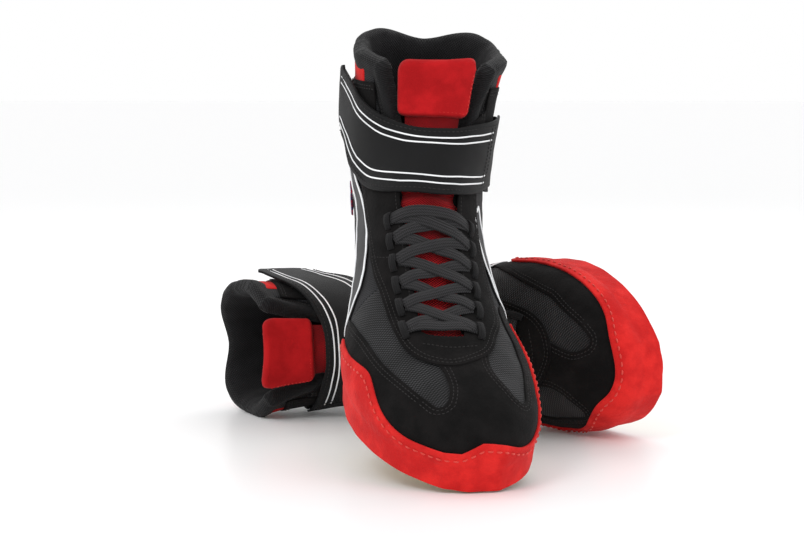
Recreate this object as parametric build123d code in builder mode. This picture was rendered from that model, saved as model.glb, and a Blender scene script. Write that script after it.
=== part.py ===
from build123d import *

import os
from collections import namedtuple
from functools import lru_cache
from math import atan2, copysign, cos, degrees, pi, sin

# A pair of high-top boxing boots in millimetres, +Z up.  The left boot lies on its medial side
# and the right boot stands on its toe with its heel propped on the left one.
#
# Both boots are drawn upright in the frame of a right boot first: the heel is at y = 0, the toe
# points along -Y, the medial side is +X, and a distance forward of the heel is called "fore".
# Each boot is built in layers over one foot form, every layer a named offset from that form, and
# is then mirrored if it is the left one and seated in its place in the pair.

# ---------------------------------------------------------------- the foot form
Station = namedtuple("Station", "front back medial lateral waist round_front round_back")
# front and back: (fore, height) of the outline in the middle plane; waist: share of the way from
# back to front where the section is widest; rounds: exponents of the rounded halves
STATIONS = [
    Station((279, 25), (279, 14), 24, 2, 0.45, 2.0, 2.2),
    Station((275, 33), (275, 11), 33, -8, 0.42, 2.1, 2.6),
    Station((266, 40), (266, 9), 41, -20, 0.40, 2.1, 2.9),
    Station((250, 46), (250, 9), 48, -33, 0.38, 2.1, 3.0),
    Station((226, 53), (226, 9), 51, -44, 0.36, 2.0, 3.0),
    Station((200, 61), (200, 9), 50, -49, 0.34, 2.0, 3.0),
    Station((176, 72), (172, 9), 45, -49, 0.32, 1.9, 2.9),
    Station((155, 86), (140, 9), 40, -45, 0.32, 1.9, 2.6),
    Station((138, 101), (102, 9), 37, -41, 0.36, 1.9, 2.4),
    Station((124, 115), (60, 9), 36, -38, 0.42, 2.0, 2.3),
    Station((114, 126), (24, 14), 37, -37, 0.50, 2.0, 2.2),
    Station((107, 135), (8, 42), 38, -38, 0.55, 2.0, 2.1),
    Station((102, 143), (8, 74), 38, -38, 0.55, 2.0, 2.1),
    Station((98, 150), (11, 104), 39, -39, 0.52, 2.1, 2.1),
    Station((94, 158), (11, 132), 40, -40, 0.50, 2.2, 2.2),
    Station((91, 168), (8, 158), 42, -42, 0.50, 2.2, 2.3),
    Station((89, 186), (4, 186), 45, -45, 0.50, 2.2, 2.3),
]
ANKLE_STATION = 11          # the foot and the shaft are lofted apart and meet here
OUTLINE_POINTS = 20
LEAN_START = 40             # the shaft leans sideways above this height
TOE_FADE = 0.5              # how fast the forward offset of the toe fades from station to station

# ---------------------------------------------------------------- layers, from the foot outwards
LINING = (0.0, 1.6)
STIFFENER = (1.8, 2.8)
MESH = (3.0, 4.0)
SUEDE = (4.2, 5.4)
PRINT = (4.2, 5.0)
RAND = (5.6, 7.0)
LOOP_TAPE = (5.6, 6.4)
HOOK_TAPE = (6.8, 7.5)
STRAP = (7.8, 9.6)
TONGUE = (-3.4, -0.4)
TONGUE_HEAD = (-3.4, 5.5)
COLLAR_PAD = (-6.0, 2.8)
SOLE_CUP = 7.2              # the outsole is hollowed to this offset
FOOTBED = -0.6              # the loose insoles stay this far inside the lining

SOLE_BOTTOM = -3.0
SOLE_RIM = 4.6
BOARD = (9.6, 11.0)         # heights of the insole board and of the sockliner
SOCKLINER = (11.3, 14.5)
TREAD_DEPTH = 1.2
GAP = 0.3                   # clearance between neighbouring pieces of one layer
REACH = 120                 # half length of every trimming prism
VAMP_LINE = 180             # fore distance where the vamp meets the quarters

# ---------------------------------------------------------------- throat and lacing
# (height, half width) of the opening between the two rows of loops
THROAT = [(49, 6), (53, 12), (100, 17), (145, 22), (178, 33), (200, 38)]
THROAT_BACK = 50            # the throat prism starts this far forward of the heel
EYESTAY_WIDTH = 17
EYESTAY_TOP = 150
LACE_ROWS = 7
LACE_WIDTH = 7.0
LACE_LAYERS = [(5.9, 7.1), (7.6, 8.8), (9.3, 10.5)]     # crossing, crossing back, straight bars
LOOP_TAB = (5.9, 7.1)
LOOP_LENGTH = 4.5
LOOP_GAP = 1.0              # between a lace end and its loop
FIRST_ROW, LAST_ROW = 4.55, 7.9     # lace rows lie between these stations
INSTEP = Plane(origin=(0, 0, 0), x_dir=(1, 0, 0), z_dir=(0, -1, 1.1))   # faces away from the instep
INSTEP_START = 135          # trimming prisms of the lacing start this far along its normal
ROW_SIDE = 5.0              # lace ends lie this far outside the throat edge

# ---------------------------------------------------------------- seats of the two boots
Boot = namedtuple("Boot", "side lean seat")
TOE_TIP = (12, -287, SOLE_BOTTOM)
RIGHT_TOE = (17.4, -198.4, 0)
RIGHT_YAW, RIGHT_PITCH, RIGHT_ROLL = 5.5, 21.0, 3.0
LEFT_HEEL = (-6.6, 209.6, 53.7)
LEFT_HEADING = 58.0         # angle between +X and the way that the lying toe points
LEFT_TIP = -3.0


def turned(x=0, y=0, z=0):
    """Rotation about one axis through the origin."""
    return Location((0, 0, 0), (x, y, z))


def right_seat():
    attitude = turned(z=RIGHT_YAW) * turned(x=RIGHT_PITCH) * turned(y=RIGHT_ROLL)
    return Location(RIGHT_TOE) * attitude * Location(Vector(*TOE_TIP) * -1)


def left_seat():
    heading = LEFT_HEADING * pi / 180
    lying = Plane(origin=(0, 0, 0), x_dir=(0, 0, 1), z_dir=(-sin(heading), -cos(heading), 0))
    return Location(LEFT_HEEL) * turned(y=LEFT_TIP) * lying.location


BOOTS = [Boot("left", 0.0, left_seat()), Boot("right", -0.08, right_seat())]


# ---------------------------------------------------------------- the foot form as a surface
def lean(height, boot):
    return boot.lean * max(height - LEAN_START, 0)


def frame_of(number, offset):
    """Middle point, upward direction, front reach and back reach of one offset station."""
    station = STATIONS[number]
    forward = offset * TOE_FADE**number
    front = Vector(0, -station.front[0] - forward, station.front[1])
    back = Vector(0, -station.back[0] - forward, station.back[1])
    up = (front - back).normalized()
    front, back = front + up * offset, back - up * offset
    middle = back + (front - back) * station.waist
    return middle, up, (front - middle).length, (middle - back).length


def outline_point(number, turn, offset, boot):
    """Point of a station's outline in its own plane; turn is 0 at the front, pi/2 medial."""
    station = STATIONS[number]
    middle, up, front_reach, back_reach = frame_of(number, offset)
    ahead = cos(turn) >= 0
    power = 2 / (station.round_front if ahead else station.round_back)
    reach = front_reach if ahead else back_reach
    half = (station.medial - station.lateral) / 2 + offset
    along = reach * copysign(abs(cos(turn)) ** power, cos(turn))
    across = half * copysign(abs(sin(turn)) ** power, sin(turn))
    height = middle.Z + up.Z * along
    return (station.medial + station.lateral) / 2 + across + lean(height, boot), along


def surface_point(place, turn, offset, boot):
    """Point on the foot form at a station number that may lie between two stations."""
    below = min(int(place), len(STATIONS) - 2)
    corners = []
    for number in (below, below + 1):
        middle, up, _, _ = frame_of(number, offset)
        x, along = outline_point(number, turn, offset, boot)
        corners.append(middle + up * along + Vector(x, 0, 0))
    return corners[0] + (corners[1] - corners[0]) * (place - below)


@lru_cache(maxsize=None)
def form(offset, boot_side):
    """Closed solid of the foot form, grown or shrunk by an offset."""
    boot = next(boot for boot in BOOTS if boot.side == boot_side)
    steps = [step / OUTLINE_POINTS for step in range(OUTLINE_POINTS + 1)]
    sections = []
    for number in range(len(STATIONS)):
        middle, up, _, _ = frame_of(number, offset)
        turns = [pi + 2 * pi * step for step in steps[:-1]]
        points = [outline_point(number, turn, offset, boot) for turn in turns]
        with BuildSketch(Plane(middle, x_dir=(1, 0, 0), z_dir=Vector(1, 0, 0).cross(up))) as section:
            with BuildLine():
                add(Edge.make_spline(points, periodic=True, parameters=steps))
            make_face()
        sections.append(section.sketch)
    with BuildPart() as grown:
        loft(sections[:ANKLE_STATION + 1])
        loft(sections[ANKLE_STATION:])
    return grown.part


# ---------------------------------------------------------------- trimming prisms
def side_prism(points, low=-REACH, high=REACH):
    """Prism across the boot, its outline given as (fore, height) points."""
    with BuildPart() as prism:
        with BuildSketch(Plane.YZ.offset(low)):
            with BuildLine():
                Polyline(*[(-fore, height) for fore, height in points], close=True)
            make_face()
        extrude(amount=high - low)
    return prism.part


def plan_prism(points, low, high):
    """Upright prism, its outline given as (x, fore) points."""
    with BuildPart() as prism:
        with BuildSketch(Plane.XY.offset(low)):
            with BuildLine():
                Polyline(*[(x, -fore) for x, fore in points], close=True)
            make_face()
        extrude(amount=high - low)
    return prism.part


def front_prism(rows, boot, extra=0.0):
    """Prism along the boot from (height, half width) rows, following the lean of the shaft."""
    right = [(lean(height, boot) + half + extra, height) for height, half in rows]
    left = [(lean(height, boot) - half - extra, height) for height, half in reversed(rows)]
    with BuildPart() as prism:
        with BuildSketch(Plane.XZ.offset(THROAT_BACK)):
            with BuildLine():
                Polyline(*right, *left, close=True)
            make_face()
        extrude(amount=3 * REACH)
    return prism.part


def half_space(boot, medial):
    """Everything on one side of the middle plane, which leans with the shaft."""
    edge = GAP / 2 if medial else -GAP / 2
    far = REACH if medial else -REACH
    middle = [(lean(height, boot) + edge, height) for height in (200, LEAN_START, -20)]
    with BuildPart() as prism:
        with BuildSketch(Plane.XZ.offset(-REACH)):
            with BuildLine():
                Polyline((far, -20), (far, 200), *middle, close=True)
            make_face()
        extrude(amount=5 * REACH)
    return prism.part


def throat(boot, extra=0.0):
    return front_prism(THROAT, boot, extra)


def eyestay_zone(boot, extra=0.0):
    """The throat with the suede stay around it."""
    rows = [(THROAT[0][0] - 4, THROAT[0][1] + 8)]
    rows += [(height, half + EYESTAY_WIDTH) for height, half in THROAT[1:]]
    return front_prism(rows, boot, extra)


# Outlines in side view, as (fore, height)
COLLAR_BASE = [(-10, 110), (130, 140)]
RIM = [(-10, 163), (40, 164), (75, 169), (130, 171)]
PAD_TOP = [(-10, 169), (30, 170), (65, 177), (130, 180)]
BELOW = -20


def under(line, drop=0.0):
    """Region below a line that runs from the back to the front."""
    return side_prism([(line[0][0], BELOW), *[(f, z - drop) for f, z in line], (line[-1][0], BELOW)])


def between(low_line, high_line):
    return side_prism([*low_line, *reversed(high_line)])


def shell(layer, boot):
    """Whole layer over the foot form."""
    inner, outer = layer
    with BuildPart() as whole:
        add(form(outer, boot.side))
        add(form(inner, boot.side), mode=Mode.SUBTRACT)
    return whole.part


# ---------------------------------------------------------------- sole unit
SOLE_OUTLINE = [
    (0, 3), (24, 14), (31, 40), (29, 90), (36, 145), (50, 195), (51, 225), (45, 256), (30, 279),
    (12, 287), (-6, 281), (-25, 262), (-42, 232), (-49, 195), (-43, 140), (-33, 90), (-31, 40), (-24, 14),
]
TREAD_FORE = [28, 46, 64, 178, 196, 214, 232, 250]
TREAD_GROOVE = 3.0
TREAD_HALF_WIDTH = 24


def outsole(boot):
    with BuildPart() as outsole:
        with BuildSketch(Plane.XY.offset(SOLE_BOTTOM)):
            with BuildLine():
                Spline(*[(x, -fore) for x, fore in SOLE_OUTLINE], periodic=True)
            make_face()
        extrude(amount=SOLE_RIM - SOLE_BOTTOM)
        add(form(SOLE_CUP, boot.side), mode=Mode.SUBTRACT)
        with BuildSketch(Plane.XY.offset(SOLE_BOTTOM)):
            for fore in TREAD_FORE:
                with Locations((0, -fore)):
                    SlotOverall(2 * TREAD_HALF_WIDTH, TREAD_GROOVE)
        extrude(amount=TREAD_DEPTH, mode=Mode.SUBTRACT)
    return outsole.part


def insole_layer(heights, boot):
    """Flat insert cut to the inside of the lining."""
    low, high = heights
    with BuildPart() as insole:
        add(form(FOOTBED, boot.side))
        add(side_prism([(6, low), (6, high), (274, high), (274, low)]), mode=Mode.INTERSECT)
    return insole.part


def insole_board(boot):
    return insole_layer(BOARD, boot)


def sockliner(boot):
    return insole_layer(SOCKLINER, boot)


# ---------------------------------------------------------------- upper, from the inside out
def lining(boot):
    with BuildPart() as lining:
        add(shell(LINING, boot))
        add(under(COLLAR_BASE, GAP), mode=Mode.INTERSECT)
        add(throat(boot), mode=Mode.SUBTRACT)
    return lining.part


def collar_pad(boot):
    with BuildPart() as pad:
        add(shell(COLLAR_PAD, boot))
        add(between(COLLAR_BASE, PAD_TOP), mode=Mode.INTERSECT)
        add(throat(boot), mode=Mode.SUBTRACT)
    return pad.part


HEEL_COUNTER = [(-20, 3), (-20, 62), (20, 64), (52, 52), (80, 22), (84, 3)]
TOE_PUFF = [(246, 3), (252, 60), (310, 60), (310, 3)]


def heel_counter(boot):
    with BuildPart() as counter:
        add(shell(STIFFENER, boot))
        add(side_prism(HEEL_COUNTER), mode=Mode.INTERSECT)
    return counter.part


def toe_puff(boot):
    with BuildPart() as puff:
        add(shell(STIFFENER, boot))
        add(side_prism(TOE_PUFF), mode=Mode.INTERSECT)
    return puff.part


def vamp_mesh(boot):
    with BuildPart() as vamp:
        add(shell(MESH, boot))
        add(side_prism([(VAMP_LINE, BELOW), (VAMP_LINE, 120), (320, 120), (320, BELOW)]),
            mode=Mode.INTERSECT)
        add(throat(boot), mode=Mode.SUBTRACT)
    return vamp.part


def quarter(boot, medial):
    back_region = [(-20, BELOW), *RIM, (130, 140), (VAMP_LINE - GAP, 120), (VAMP_LINE - GAP, BELOW)]
    with BuildPart() as quarter:
        add(shell(MESH, boot))
        add(side_prism(back_region), mode=Mode.INTERSECT)
        add(half_space(boot, medial), mode=Mode.INTERSECT)
        add(throat(boot), mode=Mode.SUBTRACT)
    return quarter.part


def lateral_quarter(boot):
    return quarter(boot, medial=False)


def medial_quarter(boot):
    return quarter(boot, medial=True)


TOE_OVERLAY = [(186, 6), (190, 80), (320, 80), (320, 6)]
LATERAL_VENT = [(-28, 206), (-20, 232), (-6, 243), (-2, 266), (-10, 268), (-24, 250), (-35, 222)]
MEDIAL_VENT = [(26, 238), (30, 226), (38, 212), (46, 236), (42, 254), (34, 256)]


def toe_overlay(boot):
    with BuildPart() as overlay:
        add(shell(SUEDE, boot))
        add(side_prism(TOE_OVERLAY), mode=Mode.INTERSECT)
        add(eyestay_zone(boot, GAP), mode=Mode.SUBTRACT)
        for vent in (LATERAL_VENT, MEDIAL_VENT):
            add(plan_prism(vent, 25, 90), mode=Mode.SUBTRACT)
    return overlay.part


def eyestay(boot):
    with BuildPart() as stay:
        add(shell(SUEDE, boot))
        add(eyestay_zone(boot), mode=Mode.INTERSECT)
        add(side_prism([(60, BELOW), (60, EYESTAY_TOP), (300, EYESTAY_TOP), (300, BELOW)]),
            mode=Mode.INTERSECT)
        add(throat(boot), mode=Mode.SUBTRACT)
    return stay.part


ANKLE_PATCH = [(-10, 100), (-10, 150), (40, 151), (78, 158), (120, 158), (120, 128), (100, 124), (60, 104)]
COLLAR_ACCENT = [(-10, 150.3), (-10, 163), (40, 164), (75, 169), (120, 170), (120, 158.3), (78, 158.3), (40, 151.3)]
HEEL_TAB = [(-20, 6), (-20, 99), (12, 99), (26, 60), (34, 24), (40, 6)]
LATERAL_FLASH = [
    (58, 100), (72, 100), (100, 86), (130, 74), (150, 60), (166, 40), (160, 28), (144, 44), (124, 57),
    (94, 68), (68, 82),
]
MEDIAL_FLASH = [(112, 92), (122, 92), (134, 74), (152, 62), (164, 46), (158, 40), (142, 54), (122, 66)]
SIDE_LABEL = [(40, 62), (40, 84), (54, 84), (54, 62)]


def ankle_patch(boot):
    with BuildPart() as patch:
        add(shell(SUEDE, boot))
        add(side_prism(ANKLE_PATCH), mode=Mode.INTERSECT)
        add(eyestay_zone(boot, GAP), mode=Mode.SUBTRACT)
    return patch.part


def collar_accent(boot):
    with BuildPart() as accent:
        add(shell(SUEDE, boot))
        add(side_prism(COLLAR_ACCENT), mode=Mode.INTERSECT)
        add(eyestay_zone(boot, GAP), mode=Mode.SUBTRACT)
    return accent.part


def heel_tab(boot):
    with BuildPart() as tab:
        add(shell(SUEDE, boot))
        add(side_prism(HEEL_TAB), mode=Mode.INTERSECT)
    return tab.part


def side_print(outline, boot, medial):
    """Thin trim on one side of the boot."""
    low, high = (0, REACH) if medial else (-REACH, 0)
    with BuildPart() as trim:
        add(shell(PRINT, boot))
        add(side_prism(outline, low, high), mode=Mode.INTERSECT)
        add(eyestay_zone(boot, GAP), mode=Mode.SUBTRACT)
    return trim.part


def lateral_flash(boot):
    return side_print(LATERAL_FLASH, boot, medial=False)


def medial_flash(boot):
    return side_print(MEDIAL_FLASH, boot, medial=True)


def side_label(boot):
    return side_print(SIDE_LABEL, boot, medial=False)


LATERAL_RAND = [(168, 1), (172, 36), (182, 40), (232, 38), (252, 24), (310, 24), (310, 1)]
MEDIAL_RAND = [(160, 1), (163, 42), (176, 42), (206, 37), (240, 28), (262, 22), (310, 24), (310, 1)]


def rand(boot):
    with BuildPart() as region:
        add(side_prism(LATERAL_RAND, -REACH, 0))
        add(side_prism(MEDIAL_RAND, 0, REACH))
    with BuildPart() as rand:
        add(shell(RAND, boot))
        add(region.part, mode=Mode.INTERSECT)
    return rand.part


# ---------------------------------------------------------------- tongue
TONGUE_ROWS = [(44, 12), (50, 18), (110, 24), (121, 24), (126, 17), (147, 18)]
TONGUE_HEAD_ROWS = [(147.6, 18), (152, 19), (180, 20), (183, 17)]


def tongue(boot):
    with BuildPart() as tongue:
        add(shell(TONGUE, boot))
        add(front_prism(TONGUE_ROWS, boot), mode=Mode.INTERSECT)
    return tongue.part


def tongue_head(boot):
    with BuildPart() as head:
        add(shell(TONGUE_HEAD, boot))
        add(front_prism(TONGUE_HEAD_ROWS, boot), mode=Mode.INTERSECT)
    return head.part


# ---------------------------------------------------------------- laces
def lace_end(place, side, offset, boot):
    """Point beside the throat at a station number; side is 1 medial, -1 lateral."""
    turn = 0.0
    point = surface_point(place, turn, offset, boot)
    while side * (point.X - lean(point.Z, boot)) < half_throat(point.Z) + ROW_SIDE:
        turn += side * pi / 180
        point = surface_point(place, turn, offset, boot)
    return point


def lace_rows(boot):
    """Pairs of points (medial, lateral) where the lace meets its loops, from the toe upwards."""
    pitch = (LAST_ROW - FIRST_ROW) / (LACE_ROWS - 1)
    places = [FIRST_ROW + pitch * row for row in range(LACE_ROWS)]
    return [[lace_end(place, side, LACE_LAYERS[0][0], boot) for side in (1, -1)] for place in places]


def half_throat(height):
    """Half width of the throat at a height."""
    for (low, narrow), (high, wide) in zip(THROAT, THROAT[1:]):
        if height <= high:
            return narrow + (wide - narrow) * max(height - low, 0) / (high - low)
    return THROAT[-1][1]


def instep_strips(layer, strips, boot):
    """Strips of a layer over the instep: each strip is (start, end, width), with round ends."""
    with BuildPart() as region:
        with BuildSketch(INSTEP.offset(INSTEP_START)):
            for start, end, width in strips:
                start, end = INSTEP.to_local_coords(start), INSTEP.to_local_coords(end)
                middle, along = (start + end) * 0.5, end - start
                with Locations(Location((middle.X, middle.Y, 0), (0, 0, degrees(atan2(along.Y, along.X))))):
                    SlotCenterToCenter(Vector(along.X, along.Y).length, width)
        extrude(amount=REACH)
    with BuildPart() as cut:
        add(shell(layer, boot))
        add(region.part, mode=Mode.INTERSECT)
    return cut.part


def lace(boot):
    """Flat lace: crossed runs in two layers, and a straight bar over the first and last rows."""
    rows = lace_rows(boot)
    crossing = [(low[0], high[1], LACE_WIDTH) for low, high in zip(rows, rows[1:])]
    crossing_back = [(low[1], high[0], LACE_WIDTH) for low, high in zip(rows, rows[1:])]
    straight = [(medial, lateral, LACE_WIDTH) for medial, lateral in (rows[0], rows[-1])]
    with BuildPart() as lace:
        for layer, strips in zip(LACE_LAYERS, (crossing, crossing_back, straight)):
            add(instep_strips(layer, strips, boot))
    return lace.part


def lace_loops(boot):
    """Webbing tabs that hold the lace, one just outside each of its ends."""
    reach = LACE_WIDTH / 2 + LOOP_GAP
    tabs = []
    for ends in lace_rows(boot):
        for point, side in zip(ends, (1, -1)):
            inner = point + Vector(side * (reach + LOOP_LENGTH / 2), 0, 0)
            tabs.append((inner, inner + Vector(side * 0.5, 0, 0), LOOP_LENGTH))
    return instep_strips(LOOP_TAB, tabs, boot)


# ---------------------------------------------------------------- strap
STRAP_LATERAL = [(-2, 118), (-2, 160), (60, 157), (105, 147), (140, 147), (140, 112), (95, 101), (60, 110)]
STRAP_MEDIAL = [(62.5, 136), (105, 147), (140, 147), (140, 112), (110, 104), (85.5, 99)]
STRAP_FREE_END = 42         # fore distance where the free end stops on the lateral side
ANCHOR = [(62, 136), (85, 99), (70, 90), (47, 127)]
TAPE = [(46, 117), (46, 152), (74, 149), (74, 108), (60, 111)]


def strap(boot):
    lateral = [(max(fore, STRAP_FREE_END), height) for fore, height in STRAP_LATERAL]
    with BuildPart() as region:
        add(side_prism(lateral, -REACH, lean(130, boot)))
        add(side_prism(STRAP_MEDIAL, lean(130, boot), REACH))
    with BuildPart() as strap:
        add(shell(STRAP, boot))
        add(region.part, mode=Mode.INTERSECT)
    return strap.part


def side_patch(layer, outline, boot, medial):
    low, high = (0, REACH) if medial else (-REACH, 0)
    with BuildPart() as patch:
        add(shell(layer, boot))
        add(side_prism(outline, low, high), mode=Mode.INTERSECT)
    return patch.part


def strap_anchor(boot):
    return side_patch((RAND[0], STRAP[1]), ANCHOR, boot, medial=True)


def loop_patch(boot):
    return side_patch(LOOP_TAPE, TAPE, boot, medial=False)


def hook_patch(boot):
    return side_patch(HOOK_TAPE, TAPE, boot, medial=False)


# ---------------------------------------------------------------- the pair
PIECES = [
    outsole, insole_board, sockliner, lining, collar_pad, heel_counter, toe_puff, vamp_mesh,
    lateral_quarter, medial_quarter, toe_overlay, eyestay, ankle_patch, collar_accent, heel_tab,
    lateral_flash, medial_flash, side_label, rand, tongue, tongue_head, lace, lace_loops, strap,
    strap_anchor, loop_patch, hook_patch,
]


def seated(piece, boot):
    """Piece in its place in the pair."""
    if boot.side == "left":
        piece = piece.mirror(Plane.YZ)
    return boot.seat * piece


os.makedirs("parts", exist_ok=True)
for boot in BOOTS:
    for make in PIECES:
        with BuildPart() as placed:
            add(seated(make(boot), boot))
        placed.part.label = f"{boot.side}_{make.__name__}"
        export_step(placed.part, f"parts/{placed.part.label}.step")
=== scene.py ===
from collections import namedtuple
from math import cos, radians, sin

import bmesh
import bpy
import numpy as np
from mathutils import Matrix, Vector
from mathutils.bvhtree import BVHTree
from mathutils.geometry import delaunay_2d_cdt
from mathutils.kdtree import KDTree

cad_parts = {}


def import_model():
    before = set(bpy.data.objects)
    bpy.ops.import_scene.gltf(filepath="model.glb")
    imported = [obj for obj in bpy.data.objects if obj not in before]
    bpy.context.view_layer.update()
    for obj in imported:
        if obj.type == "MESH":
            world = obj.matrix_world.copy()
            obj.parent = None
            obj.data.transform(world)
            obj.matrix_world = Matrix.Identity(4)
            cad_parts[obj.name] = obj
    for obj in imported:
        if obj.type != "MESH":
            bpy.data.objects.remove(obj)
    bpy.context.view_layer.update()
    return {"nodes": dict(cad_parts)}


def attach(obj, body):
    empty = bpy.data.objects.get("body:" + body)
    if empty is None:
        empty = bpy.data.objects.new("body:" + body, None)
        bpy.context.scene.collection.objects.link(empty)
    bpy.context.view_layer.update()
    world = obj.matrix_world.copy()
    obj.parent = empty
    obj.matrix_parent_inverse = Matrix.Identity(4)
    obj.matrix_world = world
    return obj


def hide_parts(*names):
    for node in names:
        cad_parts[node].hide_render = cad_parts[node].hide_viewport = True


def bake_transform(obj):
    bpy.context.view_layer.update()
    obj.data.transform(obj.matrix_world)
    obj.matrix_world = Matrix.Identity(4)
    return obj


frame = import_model()

# A pair of boxing boots.  Each boot is drawn upright in millimetres, in the frame of a right boot:
# x is medial, "fore" is the distance forward of the heel, z is up.  A point of the foot form has a
# place (station number, toe to collar) and a turn (0 at the front, pi/2 medial, pi at the back).
MM = 0.001

# ---------------------------------------------------------------- the foot form, as in the CAD
# front and back outline points (fore, height), medial and lateral reach, waist, round exponents
STATIONS = np.array([
    (279, 25, 279, 14, 24, 2, 0.45, 2.0, 2.2),
    (275, 33, 275, 11, 33, -8, 0.42, 2.1, 2.6),
    (266, 40, 266, 9, 41, -20, 0.40, 2.1, 2.9),
    (250, 46, 250, 9, 48, -33, 0.38, 2.1, 3.0),
    (226, 53, 226, 9, 51, -44, 0.36, 2.0, 3.0),
    (200, 61, 200, 9, 50, -49, 0.34, 2.0, 3.0),
    (176, 72, 172, 9, 45, -49, 0.32, 1.9, 2.9),
    (155, 86, 140, 9, 40, -45, 0.32, 1.9, 2.6),
    (138, 101, 102, 9, 37, -41, 0.36, 1.9, 2.4),
    (124, 115, 60, 9, 36, -38, 0.42, 2.0, 2.3),
    (114, 126, 24, 14, 37, -37, 0.50, 2.0, 2.2),
    (107, 135, 8, 42, 38, -38, 0.55, 2.0, 2.1),
    (102, 143, 8, 74, 38, -38, 0.55, 2.0, 2.1),
    (98, 150, 11, 104, 39, -39, 0.52, 2.1, 2.1),
    (94, 158, 11, 132, 40, -40, 0.50, 2.2, 2.2),
    (91, 168, 8, 158, 42, -42, 0.50, 2.2, 2.3),
    (89, 186, 4, 186, 45, -45, 0.50, 2.2, 2.3),
])
LAST = len(STATIONS) - 1
LEAN_START = 40
TOE_FADE = 0.5
TOE_BULGE = 2.0
ROUND = 2 * np.pi
TURN_MM = 44.0              # length of one radian of turn in the flat map of the form

THROAT = np.array([(49, 6), (53, 12), (100, 17), (145, 22), (178, 33), (200, 38)])

Boot = namedtuple("Boot", "side lean bend matrix flip")
BEND_START = 105            # above this height the soft shaft also bends sideways


def rotation(axis, degrees):
    c, s = cos(radians(degrees)), sin(radians(degrees))
    i, j = {"x": (1, 2), "y": (2, 0), "z": (0, 1)}[axis]
    m = np.eye(4)
    m[i, i], m[i, j], m[j, i], m[j, j] = c, -s, s, c
    return m


def translation(x, y, z):
    m = np.eye(4)
    m[:3, 3] = x, y, z
    return m


def right_matrix():
    attitude = rotation("z", 5.5) @ rotation("x", 21) @ rotation("y", 3)
    return translation(17.4, -198.4, 0) @ attitude @ translation(-12, 287, 3)


def left_matrix():
    heading = radians(58)
    lying = np.eye(4)
    lying[:3, 0] = 0, 0, 1
    lying[:3, 1] = -cos(heading), sin(heading), 0
    lying[:3, 2] = -sin(heading), -cos(heading), 0
    return translation(-6.6, 209.6, 53.7) @ rotation("y", -3) @ lying @ np.diag([-1, 1, 1, 1])


BOOTS = [Boot("left", 0.0, 0.0, left_matrix(), True), Boot("right", -0.08, 0.12, right_matrix(), False)]


def lean_of(boot, height):
    return boot.lean * np.maximum(height - LEAN_START, 0) + boot.bend * np.maximum(height - BEND_START, 0)


def unit(vectors):
    """Vectors at unit length, along the last axis."""
    return vectors / np.maximum(np.linalg.norm(vectors, axis=-1, keepdims=True), 1e-9)


def lengths(points):
    """Distance along a line of points, from its start."""
    return np.concatenate([[0], np.cumsum(np.linalg.norm(np.diff(points, axis=0), axis=1))])


def world(boot, points):
    """Points of the upright boot, in millimetres, to the row frame in metres."""
    points = np.asarray(points, float).reshape(-1, 3)
    return (points @ boot.matrix[:3, :3].T + boot.matrix[:3, 3]) * MM


def relief(x, y, z):
    """Slow unevenness of a stitched upper, the same for all its layers."""
    return (0.35 * np.sin(0.13 * x + 0.05 * y + 1.0) * np.sin(0.11 * z - 0.07 * y)
            + 0.2 * np.sin(0.31 * y + 0.11 * x) * np.sin(0.27 * z + 0.19 * x + 2.0))


def station_point(number, turn, offset):
    """Point of one station's outline at an offset from the form."""
    front, height, back, low, medial, lateral, waist, n_front, n_back = np.moveaxis(STATIONS[number], -1, 0)
    forward = offset * TOE_FADE**number
    up_y, up_z = back - front, height - low
    size = np.hypot(up_y, up_z)
    up_y, up_z = up_y / size, up_z / size
    front_y, front_z = -front - forward + up_y * offset, height + up_z * offset
    back_y, back_z = -back - forward - up_y * offset, low - up_z * offset
    reach = np.hypot(front_y - back_y, front_z - back_z)
    ahead = np.cos(turn) >= 0
    power = np.where(ahead, n_front, n_back)
    c, s = np.cos(turn), np.sin(turn)
    size = (np.abs(c)**power + np.abs(s)**power)**(-1 / power)
    along = np.where(ahead, 1 - waist, waist) * reach * c * size
    x = (medial + lateral) / 2 + ((medial - lateral) / 2 + offset) * s * size
    y = back_y + (front_y - back_y) * waist + up_y * along
    z = back_z + (front_z - back_z) * waist + up_z * along
    return np.stack([x, y, z], -1)


def form_points(boot, place, turn, offset, rough=1.0):
    """Points over the foot form; a place below 0 closes the toe."""
    place, turn, offset = np.broadcast_arrays(*(np.asarray(v, float) for v in (place, turn, offset)))
    inside = np.clip(place, 0, LAST)
    below = np.minimum(inside.astype(int), LAST - 1)
    t = (inside - below)[..., None]
    a, b, c, d = (station_point(np.clip(below + k, 0, LAST), turn, offset) for k in (-1, 0, 1, 2))
    p = b + 0.5 * t * (c - a + t * (2 * a - 5 * b + 4 * c - d + t * (3 * (b - c) + d - a)))
    shrink = np.clip(1 + place, 0, 1)[..., None]
    middle = np.array([13.0, -279.0, 19.5])
    bulge = np.stack([np.zeros_like(place), -offset - TOE_BULGE, np.zeros_like(place)], -1)
    cap = middle + bulge * (1 - shrink**2) + (p - middle) * np.where(shrink > 0, shrink, 0)
    cap[..., 1] = np.where(place < 0, p[..., 1] - TOE_BULGE * (1 - shrink[..., 0]**2), cap[..., 1])
    p = np.where(place[..., None] < 0, cap, p)
    x, y, z = p[..., 0], p[..., 1], p[..., 2]
    lump = rough * relief(x, y, z)
    x = x + lean_of(boot, z) + lump * np.sin(turn)
    y = y - lump * 0.5 * np.cos(turn)
    z = z + lump * 0.5 * np.cos(turn)
    return np.stack([x, y, z], -1)


def map_arc():
    """Length of the form from the toe to each station, at the middle of its side."""
    numbers = np.arange(LAST + 1)
    side = station_point(numbers, np.full(LAST + 1, -1.3), np.full(LAST + 1, 4.0))
    return lengths(side)


ARC = map_arc()
CAP_MM = 12.0


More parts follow.
